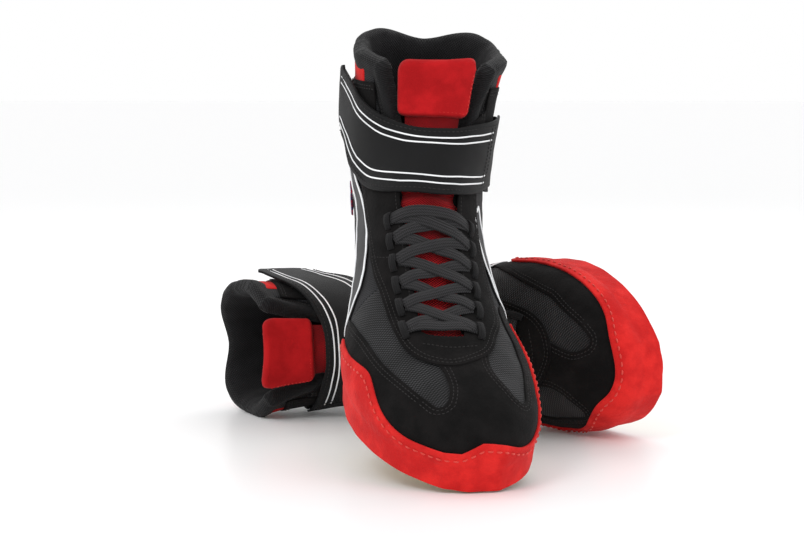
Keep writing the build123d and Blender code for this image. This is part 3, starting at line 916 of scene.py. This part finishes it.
def rand(boot):
    """Thick suede band round the toe that hangs over the edge of the sole."""
    loop = sole_loop(420)
    loop = np.roll(loop, -np.argmax(loop[:, 1]), axis=0)
    behind = loop[:, 1] < np.where(loop[:, 0] > TIP_X, *RAND_END)
    first = np.argmax(behind)
    last = 1 + np.argmax(behind[:0:-1])
    run = np.concatenate([loop[-last:], loop[:first]])
    along = np.gradient(run, axis=0)
    out = np.stack([along[:, 1], -along[:, 0]], -1)
    out /= np.linalg.norm(out, axis=1, keepdims=True)
    curves = {side: smooth(table, 8) for side, table in RAND_TOP[boot.side].items()}
    tops = []
    for x, fore in run:
        curve = curves["medial" if x > TIP_X else "lateral"]
        tops.append(np.interp(fore, curve[:, 0], curve[:, 1]))
    tops = np.convolve(np.pad(tops, 3, mode="edge"), np.ones(7) / 7, mode="valid")
    tree = rand_form(boot)
    outer = []
    for (x, fore), (ox, of), top in zip(run, out, tops):
        column = []
        for share in np.linspace(0, 1, RAND_ROWS):
            z = RAND_BOTTOM + (top - RAND_BOTTOM) * share
            start = Vector((x + 30 * ox, -(fore + 30 * of), max(z, 13.0)))
            hit = tree.ray_cast(start, Vector((-ox, of, 0)), 90)[0]
            reach = 30 - (hit - start).length if hit else -25
            skirt = 1.3 - 0.5 * max(z - 5, 0) / 8
            reach = max(reach, skirt) if z < 13 else reach
            column.append((x + reach * ox, -(fore + reach * of), z))
        outer.append(column)
    outer = np.array(outer)
    columns = len(outer)
    normal = unit(np.cross(np.gradient(outer, axis=0), np.gradient(outer, axis=1)))
    normal *= np.sign((normal[:, 5] * np.column_stack([out[:, 0], -out[:, 1], np.zeros(columns)])).sum())
    lump = relief(*np.moveaxis(outer, 2, 0)) * 0.8
    outer = outer + normal * lump[..., None]
    inner = outer - normal * 1.5
    # the section runs up the outer face and down the inner one
    section = [outer[:, 0] - normal[:, 0] * 0.5 - [0, 0, 0.1]]
    section += [outer[:, k] for k in range(RAND_ROWS - 1)]
    top_dir = unit(outer[:, -1] - outer[:, -2])
    section += [outer[:, -1] - normal[:, -1] * 0.09, outer[:, -1] - normal[:, -1] * 0.6 + top_dir * 0.3]
    section += [inner[:, k] for k in range(RAND_ROWS - 1, -1, -1)]
    section = np.stack(section, 1)
    rows = section.shape[1]
    verts = section.reshape(-1, 3)
    faces = []
    for i in range(columns - 1):
        for k in range(rows):
            a, b = i * rows + k, i * rows + (k + 1) % rows
            faces.append((a, a + rows, b + rows, b))
    faces.append(tuple(range(rows)))
    faces.append(tuple((columns - 1) * rows + k for k in reversed(range(rows))))
    name = f"{boot.side}_rand"
    tidy_normals(add_mesh(f"{name}_piece", world(boot, verts), faces, RED_SUEDE, f"{boot.side}_boot",
                          name), 60)
    seam = outer[:, -1] - top_dir * 4.2 + normal[:, -1] * 0.25
    sew(boot, "rand_seam", [(seam[2:-2], normal[2:-2, -3])], RED_THREAD, 5.2, 3.1, 1.1, 0.4, 0.5)


def rand_form(boot, offset=RAND_OFFSET):
    """The form at an offset, for casting rays on."""
    places = np.concatenate([np.linspace(-1, 0, 8), np.linspace(0, 8, 97)[1:]])
    turns = np.linspace(-np.pi, np.pi, 181)
    p, t = np.meshgrid(places, turns, indexing="ij")
    points = form_points(boot, p, t, offset, rough=0).reshape(-1, 3)
    n = len(turns)
    faces = [(i * n + k, i * n + k + 1, (i + 1) * n + k + 1, (i + 1) * n + k)
             for i in range(len(places) - 1) for k in range(n - 1)]
    return BVHTree.FromPolygons([tuple(q) for q in points], faces)


# ---------------------------------------------------------------- the upper
COLLAR_BASE = ([-10, 130], [110, 140])
RIM = ([-10, 40, 75, 130], [163, 164, 169, 171])


def lining(boot):
    panel(boot, "lining", wrap_region(boot, COLLAR_BASE, -1.0), LINING, LINING_MESH,
          spacing=6.0, step=4.0, rough=0.5)


def quarters(boot):
    """Two mesh quarters that meet at the back, and the mesh vamp in front of them."""
    low = 6.2
    medial = throat_edge(boot, 1, low, 14.2, BEHIND_ROLL, count=60)
    lateral = throat_edge(boot, -1, low, 14.2, BEHIND_ROLL, count=60)
    middle = np.pi
    for name, edge, turns in (("medial_quarter", medial, (medial[-1, 0] / TURN_MM, middle - 0.004)),
                              ("lateral_quarter", lateral, (lateral[-1, 0] / TURN_MM, -middle + 0.004))):
        back = height_line(boot, *RIM, around(*turns))
        edge = edge[edge[:, 1] < back[0, 1] - 1]
        base = to_map([(turns[1], low)])
        panel(boot, name, np.concatenate([edge, back, base]), MESH, UPPER_MESH, spacing=4.0)
    medial = throat_edge(boot, 1, 4.3, low - 0.03, 2.0)
    lateral = throat_edge(boot, -1, 4.3, low - 0.03, 2.0)
    corners = to_map([(2.9, low - 0.03), (2.9, -1.0), (-2.9, -1.0), (-2.9, low - 0.03)])
    outline = np.concatenate([lateral[::-1], [[0, lateral[0, 1]]], medial, corners])
    panel(boot, "vamp_mesh", outline, MESH, VENT_MESH, spacing=3.6)


def toe_overlay(boot):
    """Suede over the toe, with two bays that show the mesh and thin arms along the rand."""
    lateral_arm = [("lateral", 150, 36), ("lateral", 176, 44), ("lateral", 200, 47), ("lateral", 222, 46),
                   ("top", -34, 232), ("top", -27, 246), ("top", -16, 261)]
    lateral_tip = [("top", -16, 261), ("top", -9, 268), ("top", -3, 267), ("top", 0, 259), ("top", -3, 247),
                   ("top", -7, 236), ("top", -8, 226)]
    bridge = [("top", -8, 226), ("top", 8, 228), ("top", 24, 226)]
    medial_tip = [("top", 24, 226), ("top", 25, 238), ("top", 30, 249), ("top", 38, 257), ("top", 44, 255),
                  ("top", 46, 244)]
    medial_arm = [("top", 46, 244), ("medial", 222, 44), ("medial", 200, 50), ("medial", 176, 56),
                  ("medial", 150, 48)]
    top = np.concatenate([curve_on(boot, run)[:-1] for run in (lateral_arm, lateral_tip, bridge, medial_tip)]
                         + [curve_on(boot, medial_arm)])
    bottom = to_map([(2.3, 6.5), (2.3, -1.0), (-2.3, -1.0), (-2.3, 6.5)])
    outline = np.concatenate([top, bottom])
    panel(boot, "toe_overlay", outline, SUEDE, BLACK_SUEDE, spacing=3.2)
    rows = []
    for away in (1.8, 4.2):
        for run in (lateral_arm[1:], lateral_tip, medial_tip, medial_arm[:-1]):
            rows.append(offset_curve(boot, curve_on(boot, run), away))
    stitches(boot, "toe_overlay_seams", rows, SUEDE[1], BLACK_THREAD, pitch=2.6, length=1.8, width=0.6)


def offset_curve(boot, curve, distance, offset=5.0):
    """A curve of the flat map moved to its right by a true distance on the form."""
    curve = even(curve, 1.0)
    along = np.gradient(curve, axis=0)
    right = unit(np.stack([along[:, 1], -along[:, 0]], -1))
    _, along_x, along_y = normals_at(boot, curve, offset)
    stretch = np.linalg.norm(along_x * right[:, :1] + along_y * right[:, 1:], axis=1, keepdims=True)
    return curve + right * distance / np.maximum(stretch, 0.3)


STAY_TOP = 12.3


def eyestay(boot):
    """Suede stay round the throat that carries the loops, widening into the ankle."""
    outer = curve_on(boot, [
        (38, 92, 150), (39, 100, 122), (38, 124, 96), (37, 158, 74), (36, 187, 61), (32, 210, 57),
        (24, 228, 54), (6, 240, 51), (-10, 238, 52), (-21, 229, 54), (-28, 210, 57), (-33, 180, 64),
        (-38, 150, 72), (-44, 112, 88), (-48, 88, 106), (-46, 72, 150),
    ])
    inner_medial = throat_edge(boot, 1, 4.45, STAY_TOP)
    inner_lateral = throat_edge(boot, -1, 4.45, STAY_TOP)
    round_end = smooth(np.array([inner_medial[0], [8, inner_medial[0, 1] - 4], [0, inner_medial[0, 1] - 5.5],
                                 [-8, inner_medial[0, 1] - 4], inner_lateral[0]]), 8)[1:-1]
    outline = np.concatenate([outer, inner_lateral[::-1], round_end[::-1], inner_medial])
    panel(boot, "eyestay", outline, (5.4, 6.4), BLACK_SUEDE, spacing=3.2)
    rows = [offset_curve(boot, outer, away) for away in (1.6, 4.0)]
    rows += [offset_curve(boot, inner_medial[3:], 2.0), offset_curve(boot, inner_lateral[3:], -2.0)]
    rows.append(curve_on(boot, [("top", -15, 224), ("top", 2, 228), ("top", 19, 224)]))
    rows.append(curve_on(boot, [(-40, 148, 76), (-34, 156, 80), (-27, 160, 82)]))
    stitches(boot, "eyestay_seams", rows, 6.4, BLACK_THREAD, pitch=2.6, length=1.8, width=0.6)


def ankle_patch(boot):
    """Suede round the ankle under the collar."""
    medial, lateral = throat_edges(boot, 11.8, 13.6, 10.5)
    turns = around(medial[-1, 0] / TURN_MM, lateral[-1, 0] / TURN_MM)
    top = height_line(boot, [-10, 40, 78, 120], [146, 150, 162, 172], turns)
    low = height_line(boot, [-10, 60, 100, 120], [98, 102, 116, 122], turns)
    outline = np.concatenate([top, low[::-1]])
    panel(boot, "ankle_patch", outline, SUEDE, BLACK_SUEDE, spacing=4.0)
    rows = [offset_curve(boot, top, 1.8), offset_curve(boot, top, 4.0), offset_curve(boot, low, -2.0)]
    stitches(boot, "ankle_patch_seams", rows, SUEDE[1], BLACK_THREAD, pitch=2.8, length=1.9, width=0.6)


def collar_accent(boot):
    """Red suede band under the collar padding, round the back."""
    reach = 1.12
    turns = around(reach, ROUND - reach)
    low = height_line(boot, [-10, 40, 78, 120], [144, 148, 160, 172], turns)
    high = height_line(boot, [-10, 40, 78, 120], [161, 164, 171, 176], turns)
    panel(boot, "collar_accent", np.concatenate([high, low[::-1]]), (3.6, 4.4), RED_SUEDE)


def heel_tab(boot):
    """Red suede strip up the back of the heel."""
    right = curve_on(boot, [("medial", 46, 6), ("medial", 40, 26), ("medial", 31, 60), ("medial", 18, 98)])
    left = curve_on(boot, [("lateral", 18, 98), ("lateral", 31, 60), ("lateral", 40, 26), ("lateral", 46, 6)])
    left[:, 0] = np.where(left[:, 0] < 0, left[:, 0] + ROUND * TURN_MM, left[:, 0])
    outline = np.concatenate([right, left])
    panel(boot, "heel_tab", outline, SUEDE, RED_SUEDE, spacing=4.0)
    rows = [offset_curve(boot, right, 2.5), offset_curve(boot, left, 2.5)]
    stitches(boot, "heel_tab_seams", rows, SUEDE[1], RED_THREAD, pitch=3.6, length=2.4, width=0.8)


FLASHES = {
    "lateral_flash": ("lateral", [(58, 104), (84, 82), (110, 66), (134, 54), (150, 42), (160, 27)],
                      [(160, 27), (164, 44), (154, 60), (134, 74), (108, 88), (74, 106)],
                      [(74, 106), (58, 104)]),
    "medial_flash": ("medial", [(108, 94), (126, 72), (144, 56), (158, 41)],
                     [(158, 41), (160, 54), (148, 66), (134, 80), (120, 94)], [(120, 94), (108, 94)]),
}


def flash(boot, name):
    """Plain curved stripe: a grey film with a raised white border."""
    side, *runs = FLASHES[name]
    outline = outline_on(boot, *[[(side, *spot) for spot in run] for run in runs])
    panel(boot, name, outline, TRIM, GREY_FILM, spacing=3.5, edge=0.3)
    strip_on(boot, f"{name}_border", [ccw(outline)], TRIM[1] - 0.1, 2.0, 0.7, WHITE_PRINT, closed=True)


def side_label(boot):
    """Blank woven tab."""
    outline = polygon_on(boot, "lateral", [(46, 63), (47, 83), (60, 82), (59, 62)])
    panel(boot, "side_label", outline, TRIM, LABEL_CLOTH, spacing=3.0, edge=0.2)
    border = inset(boot, even(outline, 1.2, True), 0.9)
    strip_on(boot, "side_label_edge", [border], TRIM[1] - 0.1, 1.0, 0.4, LABEL_EDGE, closed=True)


# ---------------------------------------------------------------- collar
def collar_pad(boot):
    """Padded collar: two humps at the back, rolls down both edges of the throat, soft folds."""
    medial, lateral = throat_edges(boot, 10.2, 15.4, -1.0)
    start, end = medial[-1, 0] / TURN_MM, lateral[-1, 0] / TURN_MM
    turns = around(start, end, 120)
    behind = np.abs(turns - np.pi)
    hump = 4.0 * np.exp(-((behind - 0.85) / 0.5)**2) - 2.0 * np.exp(-(behind / 0.4)**2)
    rim = []
    for turn, rise in zip(turns, hump):
        line = height_line(boot, [-10, 30, 65, 130], [170, 172, 178, 180], [turn])[0]
        rim.append(line + [0, rise])
    base = height_line(boot, [-10, 130], [112, 136], turns)
    medial = medial[(medial[:, 1] > base[0, 1] - 30) & (medial[:, 1] < rim[0][1] - 3)]
    lateral = lateral[(lateral[:, 1] > base[-1, 1] - 30) & (lateral[:, 1] < rim[-1][1] - 3)]
    low = np.concatenate([[medial[0]], base[6:-6], [lateral[0]]])
    outline = np.concatenate([medial, rim[2:-2], lateral[::-1], low[::-1][1:-1]])

    long_edges = throat_edges(boot, 9.8, 15.4, -1.0, count=57)

    def side_gap(turn, place, side):
        edge = long_edges[0 if side > 0 else 1]
        at = np.interp(place, from_map(edge)[:, 1], edge[:, 0])
        return side * (turn * TURN_MM - at)

    def folds(uv, away):
        turn, place = uv.T
        depth = np.clip(away / 6, 0, 1)
        wave = 0.9 * np.sin(9 * turn + 2 * np.sin(1.3 * place)) + 0.5 * np.sin(17 * turn + 1.1 * place)
        from_edge = np.minimum(side_gap(turn, place, 1), side_gap(turn, place, -1))
        roll = np.exp(-(np.maximum(from_edge - 5, 0) / 3.5)**2)
        above = np.clip((place - 14.9) / 0.5, 0, 1)
        loose = np.maximum(roll, 0.7 * above)
        soft = np.clip(away / 3, 0, 1)
        return (3.4 * soft + depth * wave * 0.7) * loose, (1.4 * soft + depth * wave) * np.maximum(loose, 0.4)

    def middle(uv):
        turn, place = uv.T
        return np.full(len(turn), -2.6) + 1.2 * np.clip((place - 14.0) / 1.5, 0, 1)

    pillow(boot, "collar_pad", outline, middle, 5.2, 7.0, COLLAR_MESH, shape=folds)
    edges = [offset_curve(boot, medial, 9.5), offset_curve(boot, lateral[::-1], 9.5)]
    stitches(boot, "collar_seams", edges, 4.6, BLACK_THREAD, pitch=2.4, length=1.7, width=0.6)


# ---------------------------------------------------------------- tongue
def tongue(boot):
    """Red mesh tongue that swells a little between the laces."""
    low, high = 4.2, 13.2
    places = np.linspace(low, high, 120)
    half = np.interp(places, [low, 4.6, 9.3, 10.3, 11.0, 13.2], [10, 20, 26, 25, 19, 19]) / TURN_MM
    left = to_map(np.stack([-half, places], -1))
    right = to_map(np.stack([half, places], -1))
    outline = np.concatenate([right, left[::-1]])

    def swell(uv):
        return 1.6 + 0.9 * np.cos((uv[:, 1] - 4.55) * 2 * np.pi / 0.56)

    obj = panel(boot, "tongue", outline, (-3.0, -0.6), TONGUE_MESH, spacing=2.2, body=None,
                lift=lambda uv: np.where(uv[:, 1] < 9.0, swell(uv), 1.0))
    start = on_form(boot, to_map([(0.0, 12.2)]), 0.0)
    end = on_form(boot, to_map([(0.0, 13.2)]), 0.0)
    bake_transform(obj)


def tongue_head(boot):
    """Padded red head of the tongue: a plain rounded rectangle."""
    low, high = 13.05, 15.85
    w = 24.0 / TURN_MM
    corner = 0.16
    bend = np.linspace(0, np.pi / 2, 6)
    outline = []
    for cx, cy, start in ((w, high, 0), (-w, high, 1), (-w, low, 2), (w, low, 3)):
        for angle in bend + start * np.pi / 2:
            outline.append((cx - np.sign(cx) * corner + corner * cos(angle),
                            cy - (0.45 if cy == high else -0.3) + 0.45 * sin(angle)))
    outline = [(u, v + 0.22 * u * (v - low) / (high - low)) for u, v in outline]
    pillow(boot, "tongue_head", to_map(outline), 1.6, 3.6, 4.0, RED_HEAD, spacing=2.6,
           body="tongue_head")
    seam = inset(boot, even(to_map(outline), 1.5, True), 3.0, 4.0)
    stitches(boot, "tongue_head_seam", [seam[len(seam) // 2 + 8:]], 4.9, RED_THREAD, pitch=2.6, length=1.7,
             width=0.5, body="tongue_head")


# ---------------------------------------------------------------- laces
LACE_ROWS = 6
FIRST_ROW, LAST_ROW = 4.55, 7.9
ROW_SIDE = 5.0
LACE_WIDTH = 7.4
LACE_THICKNESS = 1.1


def lace_ends(boot):
    """Flat-map points of the lace ends, [row] -> (medial, lateral)."""
    places = np.linspace(FIRST_ROW, LAST_ROW, LACE_ROWS)
    ends = []
    for place in places:
        ends.append([throat_edge(boot, side, place, place, ROW_SIDE, 6.0, 1)[0] for side in (1, -1)])
    return np.array(ends)


def lace_run(boot, start, end, heights, bow=0.0):
    """One run of lace between two flat-map points: offsets over the form at even shares."""
    share = np.linspace(0, 1, 25)
    path = start + (end - start) * share[:, None]
    path = path + np.array([0, bow]) * np.sin(np.pi * share)[:, None]
    offset = np.interp(share, np.linspace(0, 1, len(heights)), heights)
    offset = np.convolve(np.pad(offset, 2, mode="edge"), np.ones(5) / 5, mode="valid")
    normal, _, _ = normals_at(boot, path, 7.0)
    return on_form(boot, path, offset), normal


def lace(boot):
    """Criss-cross lacing: each run comes over its lower loop, crosses, and dives under the next."""
    ends = lace_ends(boot)
    runs = []
    for row in range(LACE_ROWS - 1):
        for side in (0, 1):
            start, end = ends[row][side], ends[row + 1][1 - side]
            over = (row + side) % 2 == 0
            start = start + [(1.5 if side == 0 else -1.5), 0]
            crossing = 6.6 if over else 5.2
            heights = [7.6, 8.4, 7.8, crossing, crossing, crossing, 6.9, 7.0, 6.6]
            runs.append(lace_run(boot, start, end, heights, bow=-0.8))
    for row, high in ((0, 0.4), (LACE_ROWS - 1, 0.4)):
        reach = np.array([2.0, 0])
        heights = [6.6, 7.8 + high, 7.6 + high, 6.4 + high, 6.4 + high, 7.6 + high, 7.8 + high, 6.6]
        runs.append(lace_run(boot, ends[row][0] + reach, ends[row][1] - reach, heights, bow=-0.8))
    verts, faces, uv = ribbon_mesh(runs, flat_section(LACE_WIDTH, LACE_THICKNESS))
    name = f"{boot.side}_lace"
    add_mesh(f"{name}_piece", world(boot, verts), flipped(boot, faces), LACE_BRAID, f"{boot.side}_boot",
             name, uv / 1000)


def lace_loops(boot):
    """Webbing loops: a short strap over each lace end, sewn down at both of its ends."""
    runs = []
    for pair in lace_ends(boot):
        for point, side in zip(pair, (1, -1)):
            share = np.linspace(-1, 1, 15)
            path = point + np.stack([np.full(15, side * 3.2), share * 6.2], -1)
            offset = 6.5 + 3.2 * np.clip(1 - np.abs(share)**3 * 1.05, 0, 1)
            normal, _, _ = normals_at(boot, path, 7.0)
            runs.append((on_form(boot, path, offset), normal))
    verts, faces, uv = ribbon_mesh(runs, flat_section(4.2, 1.0))
    name = f"{boot.side}_lace_loops"
    add_mesh(f"{name}_piece", world(boot, verts), flipped(boot, faces), WEBBING, f"{boot.side}_boot",
             name, uv / 1000)


# ---------------------------------------------------------------- strap
FREE_TURN = -1.25           # the free end starts to stand off from here


def strap_lift(uv):
    """The upper corner of the free end stands away from the boot."""
    turn, place = uv[:, 0], uv[:, 1]
    far = np.clip((FREE_TURN - turn) / 0.7, 0, 1)
    return 3.5 * far**2 + 5.0 * far**2 * np.clip((place - 11.8) / 2.5, 0, 1)


def strap_lines(boot):
    """Top and bottom edges of the strap, from the lateral free end to the medial anchor."""
    top = curve_on(boot, [(-47, 42, 160), (-52, 62, 156), (-47, 80, 150), (-30, 101, 146), (-11, 110, 146),
                          (10, 110, 146), (26, 100, 144), (38, 82, 141), (44, 62, 137)])
    low = curve_on(boot, [(-50, 42, 117), (-52, 60, 113), (-47, 84, 103), (-36, 108, 102), (-22, 128, 109),
                          (-4, 134, 111), (12, 128, 110), (26, 114, 106), (37, 94, 101), (42, 84, 98)])
    return top, low


def between(a, b, share, start=0.0, end=1.0):
    """Curve part of the way from one curve to another."""
    at = np.linspace(start, end, 100)
    def sample(curve):
        curve = even(curve, 1.0)
        own = np.linspace(0, 1, len(curve))
        return np.stack([np.interp(at, own, curve[:, k]) for k in range(2)], -1)
    return sample(a) * (1 - share) + sample(b) * share


def strap(boot):
    """Ankle strap with a sewn hem, paired white lines and a rounded free end."""
    top, low = strap_lines(boot)
    corner = 5.0
    end_top, end_low = top[0], low[0]
    free = smooth(np.array([end_top + [corner, 0], end_top + [1.2, -1.6], end_top + [0.2, -corner - 2],
                            (end_top + end_low) / 2, end_low + [0.2, corner + 2], end_low + [1.2, 1.6],
                            end_low + [corner, 0]]), 8)
    keep_top, keep_low = top[top[:, 0] > end_top[0] + corner], low[low[:, 0] > end_low[0] + corner]
    outline = np.concatenate([free, keep_low, keep_top[::-1]])
    obj = panel(boot, "strap", outline, STRAP, STRAP_CLOTH, spacing=3.0, body=None,
                lift=strap_lift, edge=0.7, rough=0.3)
    blend_strap(boot, obj)
    lines = []
    for share in (0.15, 0.25, 0.77, 0.87):
        lines.append(between(top, low, share, 0.02, 0.87))
        lines.append(between(top, low, share, 0.882, 0.892))
    strip_on(boot, "strap_lines", lines, STRAP[1] - 0.05, 0.95, 0.35, WHITE_PRINT, body="strap",
             lift=strap_lift)
    hems = [between(top, low, 0.05, 0.02, 0.97), between(top, low, 0.955, 0.02, 0.97)]
    stitches(boot, "strap_hems", hems, STRAP[1], BLACK_THREAD, width=0.6, body="strap", lift=strap_lift)
    across = np.linspace(0.06, 0.94, 20)
    columns = [np.array([between(top, low, share, far, far + 1e-6)[0] for share in across])
               for far in (0.877, 0.91)]
    stitches(boot, "strap_root_seam", columns, STRAP[1], BLACK_THREAD, pitch=2.4, length=1.6, width=0.6,
             body="strap")


def blend_strap(boot, obj):
    """The strap's placement is baked into its mesh."""
    root, ahead = (world(boot, on_form(boot, to_map([find(boot, ("medial", fore, 118))]), 9.0))[0]
                   for fore in (66, 78))
    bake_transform(obj)


def strap_anchor(boot):
    """Mesh tab on the medial side that the strap is sewn to."""
    runs = ([(66, 139), (76, 118), (88, 97)], [(88, 97), (70, 90)], [(70, 90), (56, 108), (44, 130)],
            [(44, 130), (66, 139)])
    outline = outline_on(boot, *[[("medial", *spot) for spot in run] for run in runs])
    panel(boot, "strap_anchor", outline, (5.7, 7.6), COLLAR_MESH, spacing=3.0)


def patches(boot):
    """Loop tape on the shaft and hook tape under the free end of the strap."""
    outline = polygon_on(boot, "lateral", [(46, 117), (46, 152), (74, 149), (74, 112)])
    panel(boot, "loop_patch", outline, (5.6, 6.4), LOOP_TAPE, spacing=3.5, edge=0.2)
    panel(boot, "hook_patch", outline, (6.8, 7.5), HOOK_TAPE, spacing=3.5, edge=0.2,
          body="strap", lift=strap_lift)


# ---------------------------------------------------------------- inside
def sockliner(boot):
    """Foam insole: a shallow heel cup and a thin knit top."""
    loop = []
    for x, fore in sole_loop(160):
        toward = np.array([4.0, 145.0]) - [x, fore]
        toward /= np.linalg.norm(toward)
        loop.append(np.array([x, fore]) + toward * 9.0)
    loop = np.array(loop)
    points, triangles, rings, loops = fill(loop, (), 6.0, 3.5)
    away = gap_to(points, loops)
    height = 13.0 + 1.6 * np.exp(-(away / 8)**2) * np.clip((150 - points[:, 1]) / 60, 0, 1)
    top = np.column_stack([points[:, 0], -points[:, 1], height])
    low = np.column_stack([points[:, 0], -points[:, 1], np.full(len(points), 11.4)])
    count = len(points)
    faces = [tuple(t[::-1]) for t in triangles] + [tuple(t + count) for t in triangles]
    faces += side_faces([r + count for r in rings[0]], rings[0])
    cloth = points / 1000
    name = f"{boot.side}_sockliner"
    tidy_normals(add_mesh(f"{name}_piece", world(boot, np.concatenate([top, low])), faces, FOAM_TOP,
                          f"{boot.side}_boot", name, np.concatenate([cloth, cloth])), 40)


def stiffeners(boot):
    """Heel counter and toe puff between the lining and the upper."""
    wall = [("lateral", 78, 14), ("lateral", 60, 44), ("lateral", 24, 62)]
    across = [("lateral", 24, 62), (0, 10, 62), ("medial", 24, 62)]
    other = [("medial", 24, 62), ("medial", 60, 44), ("medial", 78, 14)]
    runs = [curve_on(boot, run) for run in (other[::-1], across[::-1], wall[::-1])]
    for run in runs:
        run[:, 0] = np.where(run[:, 0] < 0, run[:, 0] + ROUND * TURN_MM, run[:, 0])
    outline = np.concatenate([run[:-1] for run in runs])
    panel(boot, "heel_counter", outline, (1.8, 2.6), BOARD, spacing=5.0)
    edge = curve_on(boot, [("lateral", 250, 16), ("top", -30, 254), ("top", 4, 250), ("top", 38, 254),
                           ("medial", 250, 16)])
    tip = to_map([(1.8, -0.9), (-1.8, -0.9)])
    panel(boot, "toe_puff", np.concatenate([edge, tip]), (1.8, 2.6), BOARD, spacing=5.0)


def finish_cad_nodes(boot):
    """Pieces whose CAD shape is right keep it and get a finish."""
    mesh = frame["nodes"][f"{boot.side}_insole_board"].data
    mesh.materials.clear()
    mesh.materials.append(BOARD)


for boot in BOOTS:
    outsole(boot)
    rand(boot)
    sockliner(boot)
    lining(boot)
    quarters(boot)
    toe_overlay(boot)
    eyestay(boot)
    ankle_patch(boot)
    collar_accent(boot)
    heel_tab(boot)
    flash(boot, "lateral_flash")
    flash(boot, "medial_flash")
    side_label(boot)
    collar_pad(boot)
    tongue(boot)
    tongue_head(boot)
    lace(boot)
    lace_loops(boot)
    strap_anchor(boot)
    strap(boot)
    patches(boot)
    stiffeners(boot)
    finish_cad_nodes(boot)


# ---------------------------------------------------------------- floor, light and camera
FLOOR_REACH = 60.0


def floor():
    mesh = bpy.data.meshes.new("floor")
    corners = [(x * FLOOR_REACH, y * FLOOR_REACH, 0) for x, y in ((-1, -1), (1, -1), (1, 1), (-1, 1))]
    mesh.from_pydata(corners, [], [(0, 1, 2, 3)])
    obj = bpy.data.objects.new("floor", mesh)
    bpy.context.scene.collection.objects.link(obj)
    material, _, shader = node_tree("floor_white")
    shader.inputs["Base Color"].default_value = (0.97, 0.97, 0.975, 1)
    shader.inputs["Roughness"].default_value = 0.35
    shader.inputs["Specular IOR Level"].default_value = 0.25
    mesh.materials.append(material)


def area_light(name, spot, target, size, power):
    data = bpy.data.lights.new(name, "AREA")
    data.size, data.energy = size, power
    obj = bpy.data.objects.new(name, data)
    obj.location = spot
    obj.rotation_euler = (Vector(target) - Vector(spot)).to_track_quat("-Z", "Y").to_euler()
    bpy.context.scene.collection.objects.link(obj)


floor()
bpy.context.scene.view_settings.view_transform = "Standard"
world_data = bpy.data.worlds.new("studio")
bpy.context.scene.world = world_data
world_data.use_nodes = True
world_data.node_tree.nodes["Background"].inputs[0].default_value = (1, 1, 1, 1)
world_data.node_tree.nodes["Background"].inputs[1].default_value = 1.0
MIDDLE = (0, 0, 0.1)
area_light("key", (-0.8, -1.3, 1.5), MIDDLE, 0.7, 9)
area_light("fill", (1.3, -1.0, 0.8), MIDDLE, 0.8, 3)
area_light("back", (0.2, 1.4, 1.6), MIDDLE, 1.0, 7)

camera = bpy.data.objects.new("camera", bpy.data.cameras.new("camera"))
camera.data.lens = 89
camera.data.sensor_width = 36
bpy.context.scene.collection.objects.link(camera)
TARGET, DISTANCE, ELEVATION = Vector((-0.0206, -0.0304, 0.113)), 1.28, radians(5)
camera.location = TARGET + DISTANCE * Vector((0, -cos(ELEVATION), sin(ELEVATION)))
camera.rotation_euler = (radians(90) - ELEVATION, 0, 0)
bpy.context.scene.camera = camera
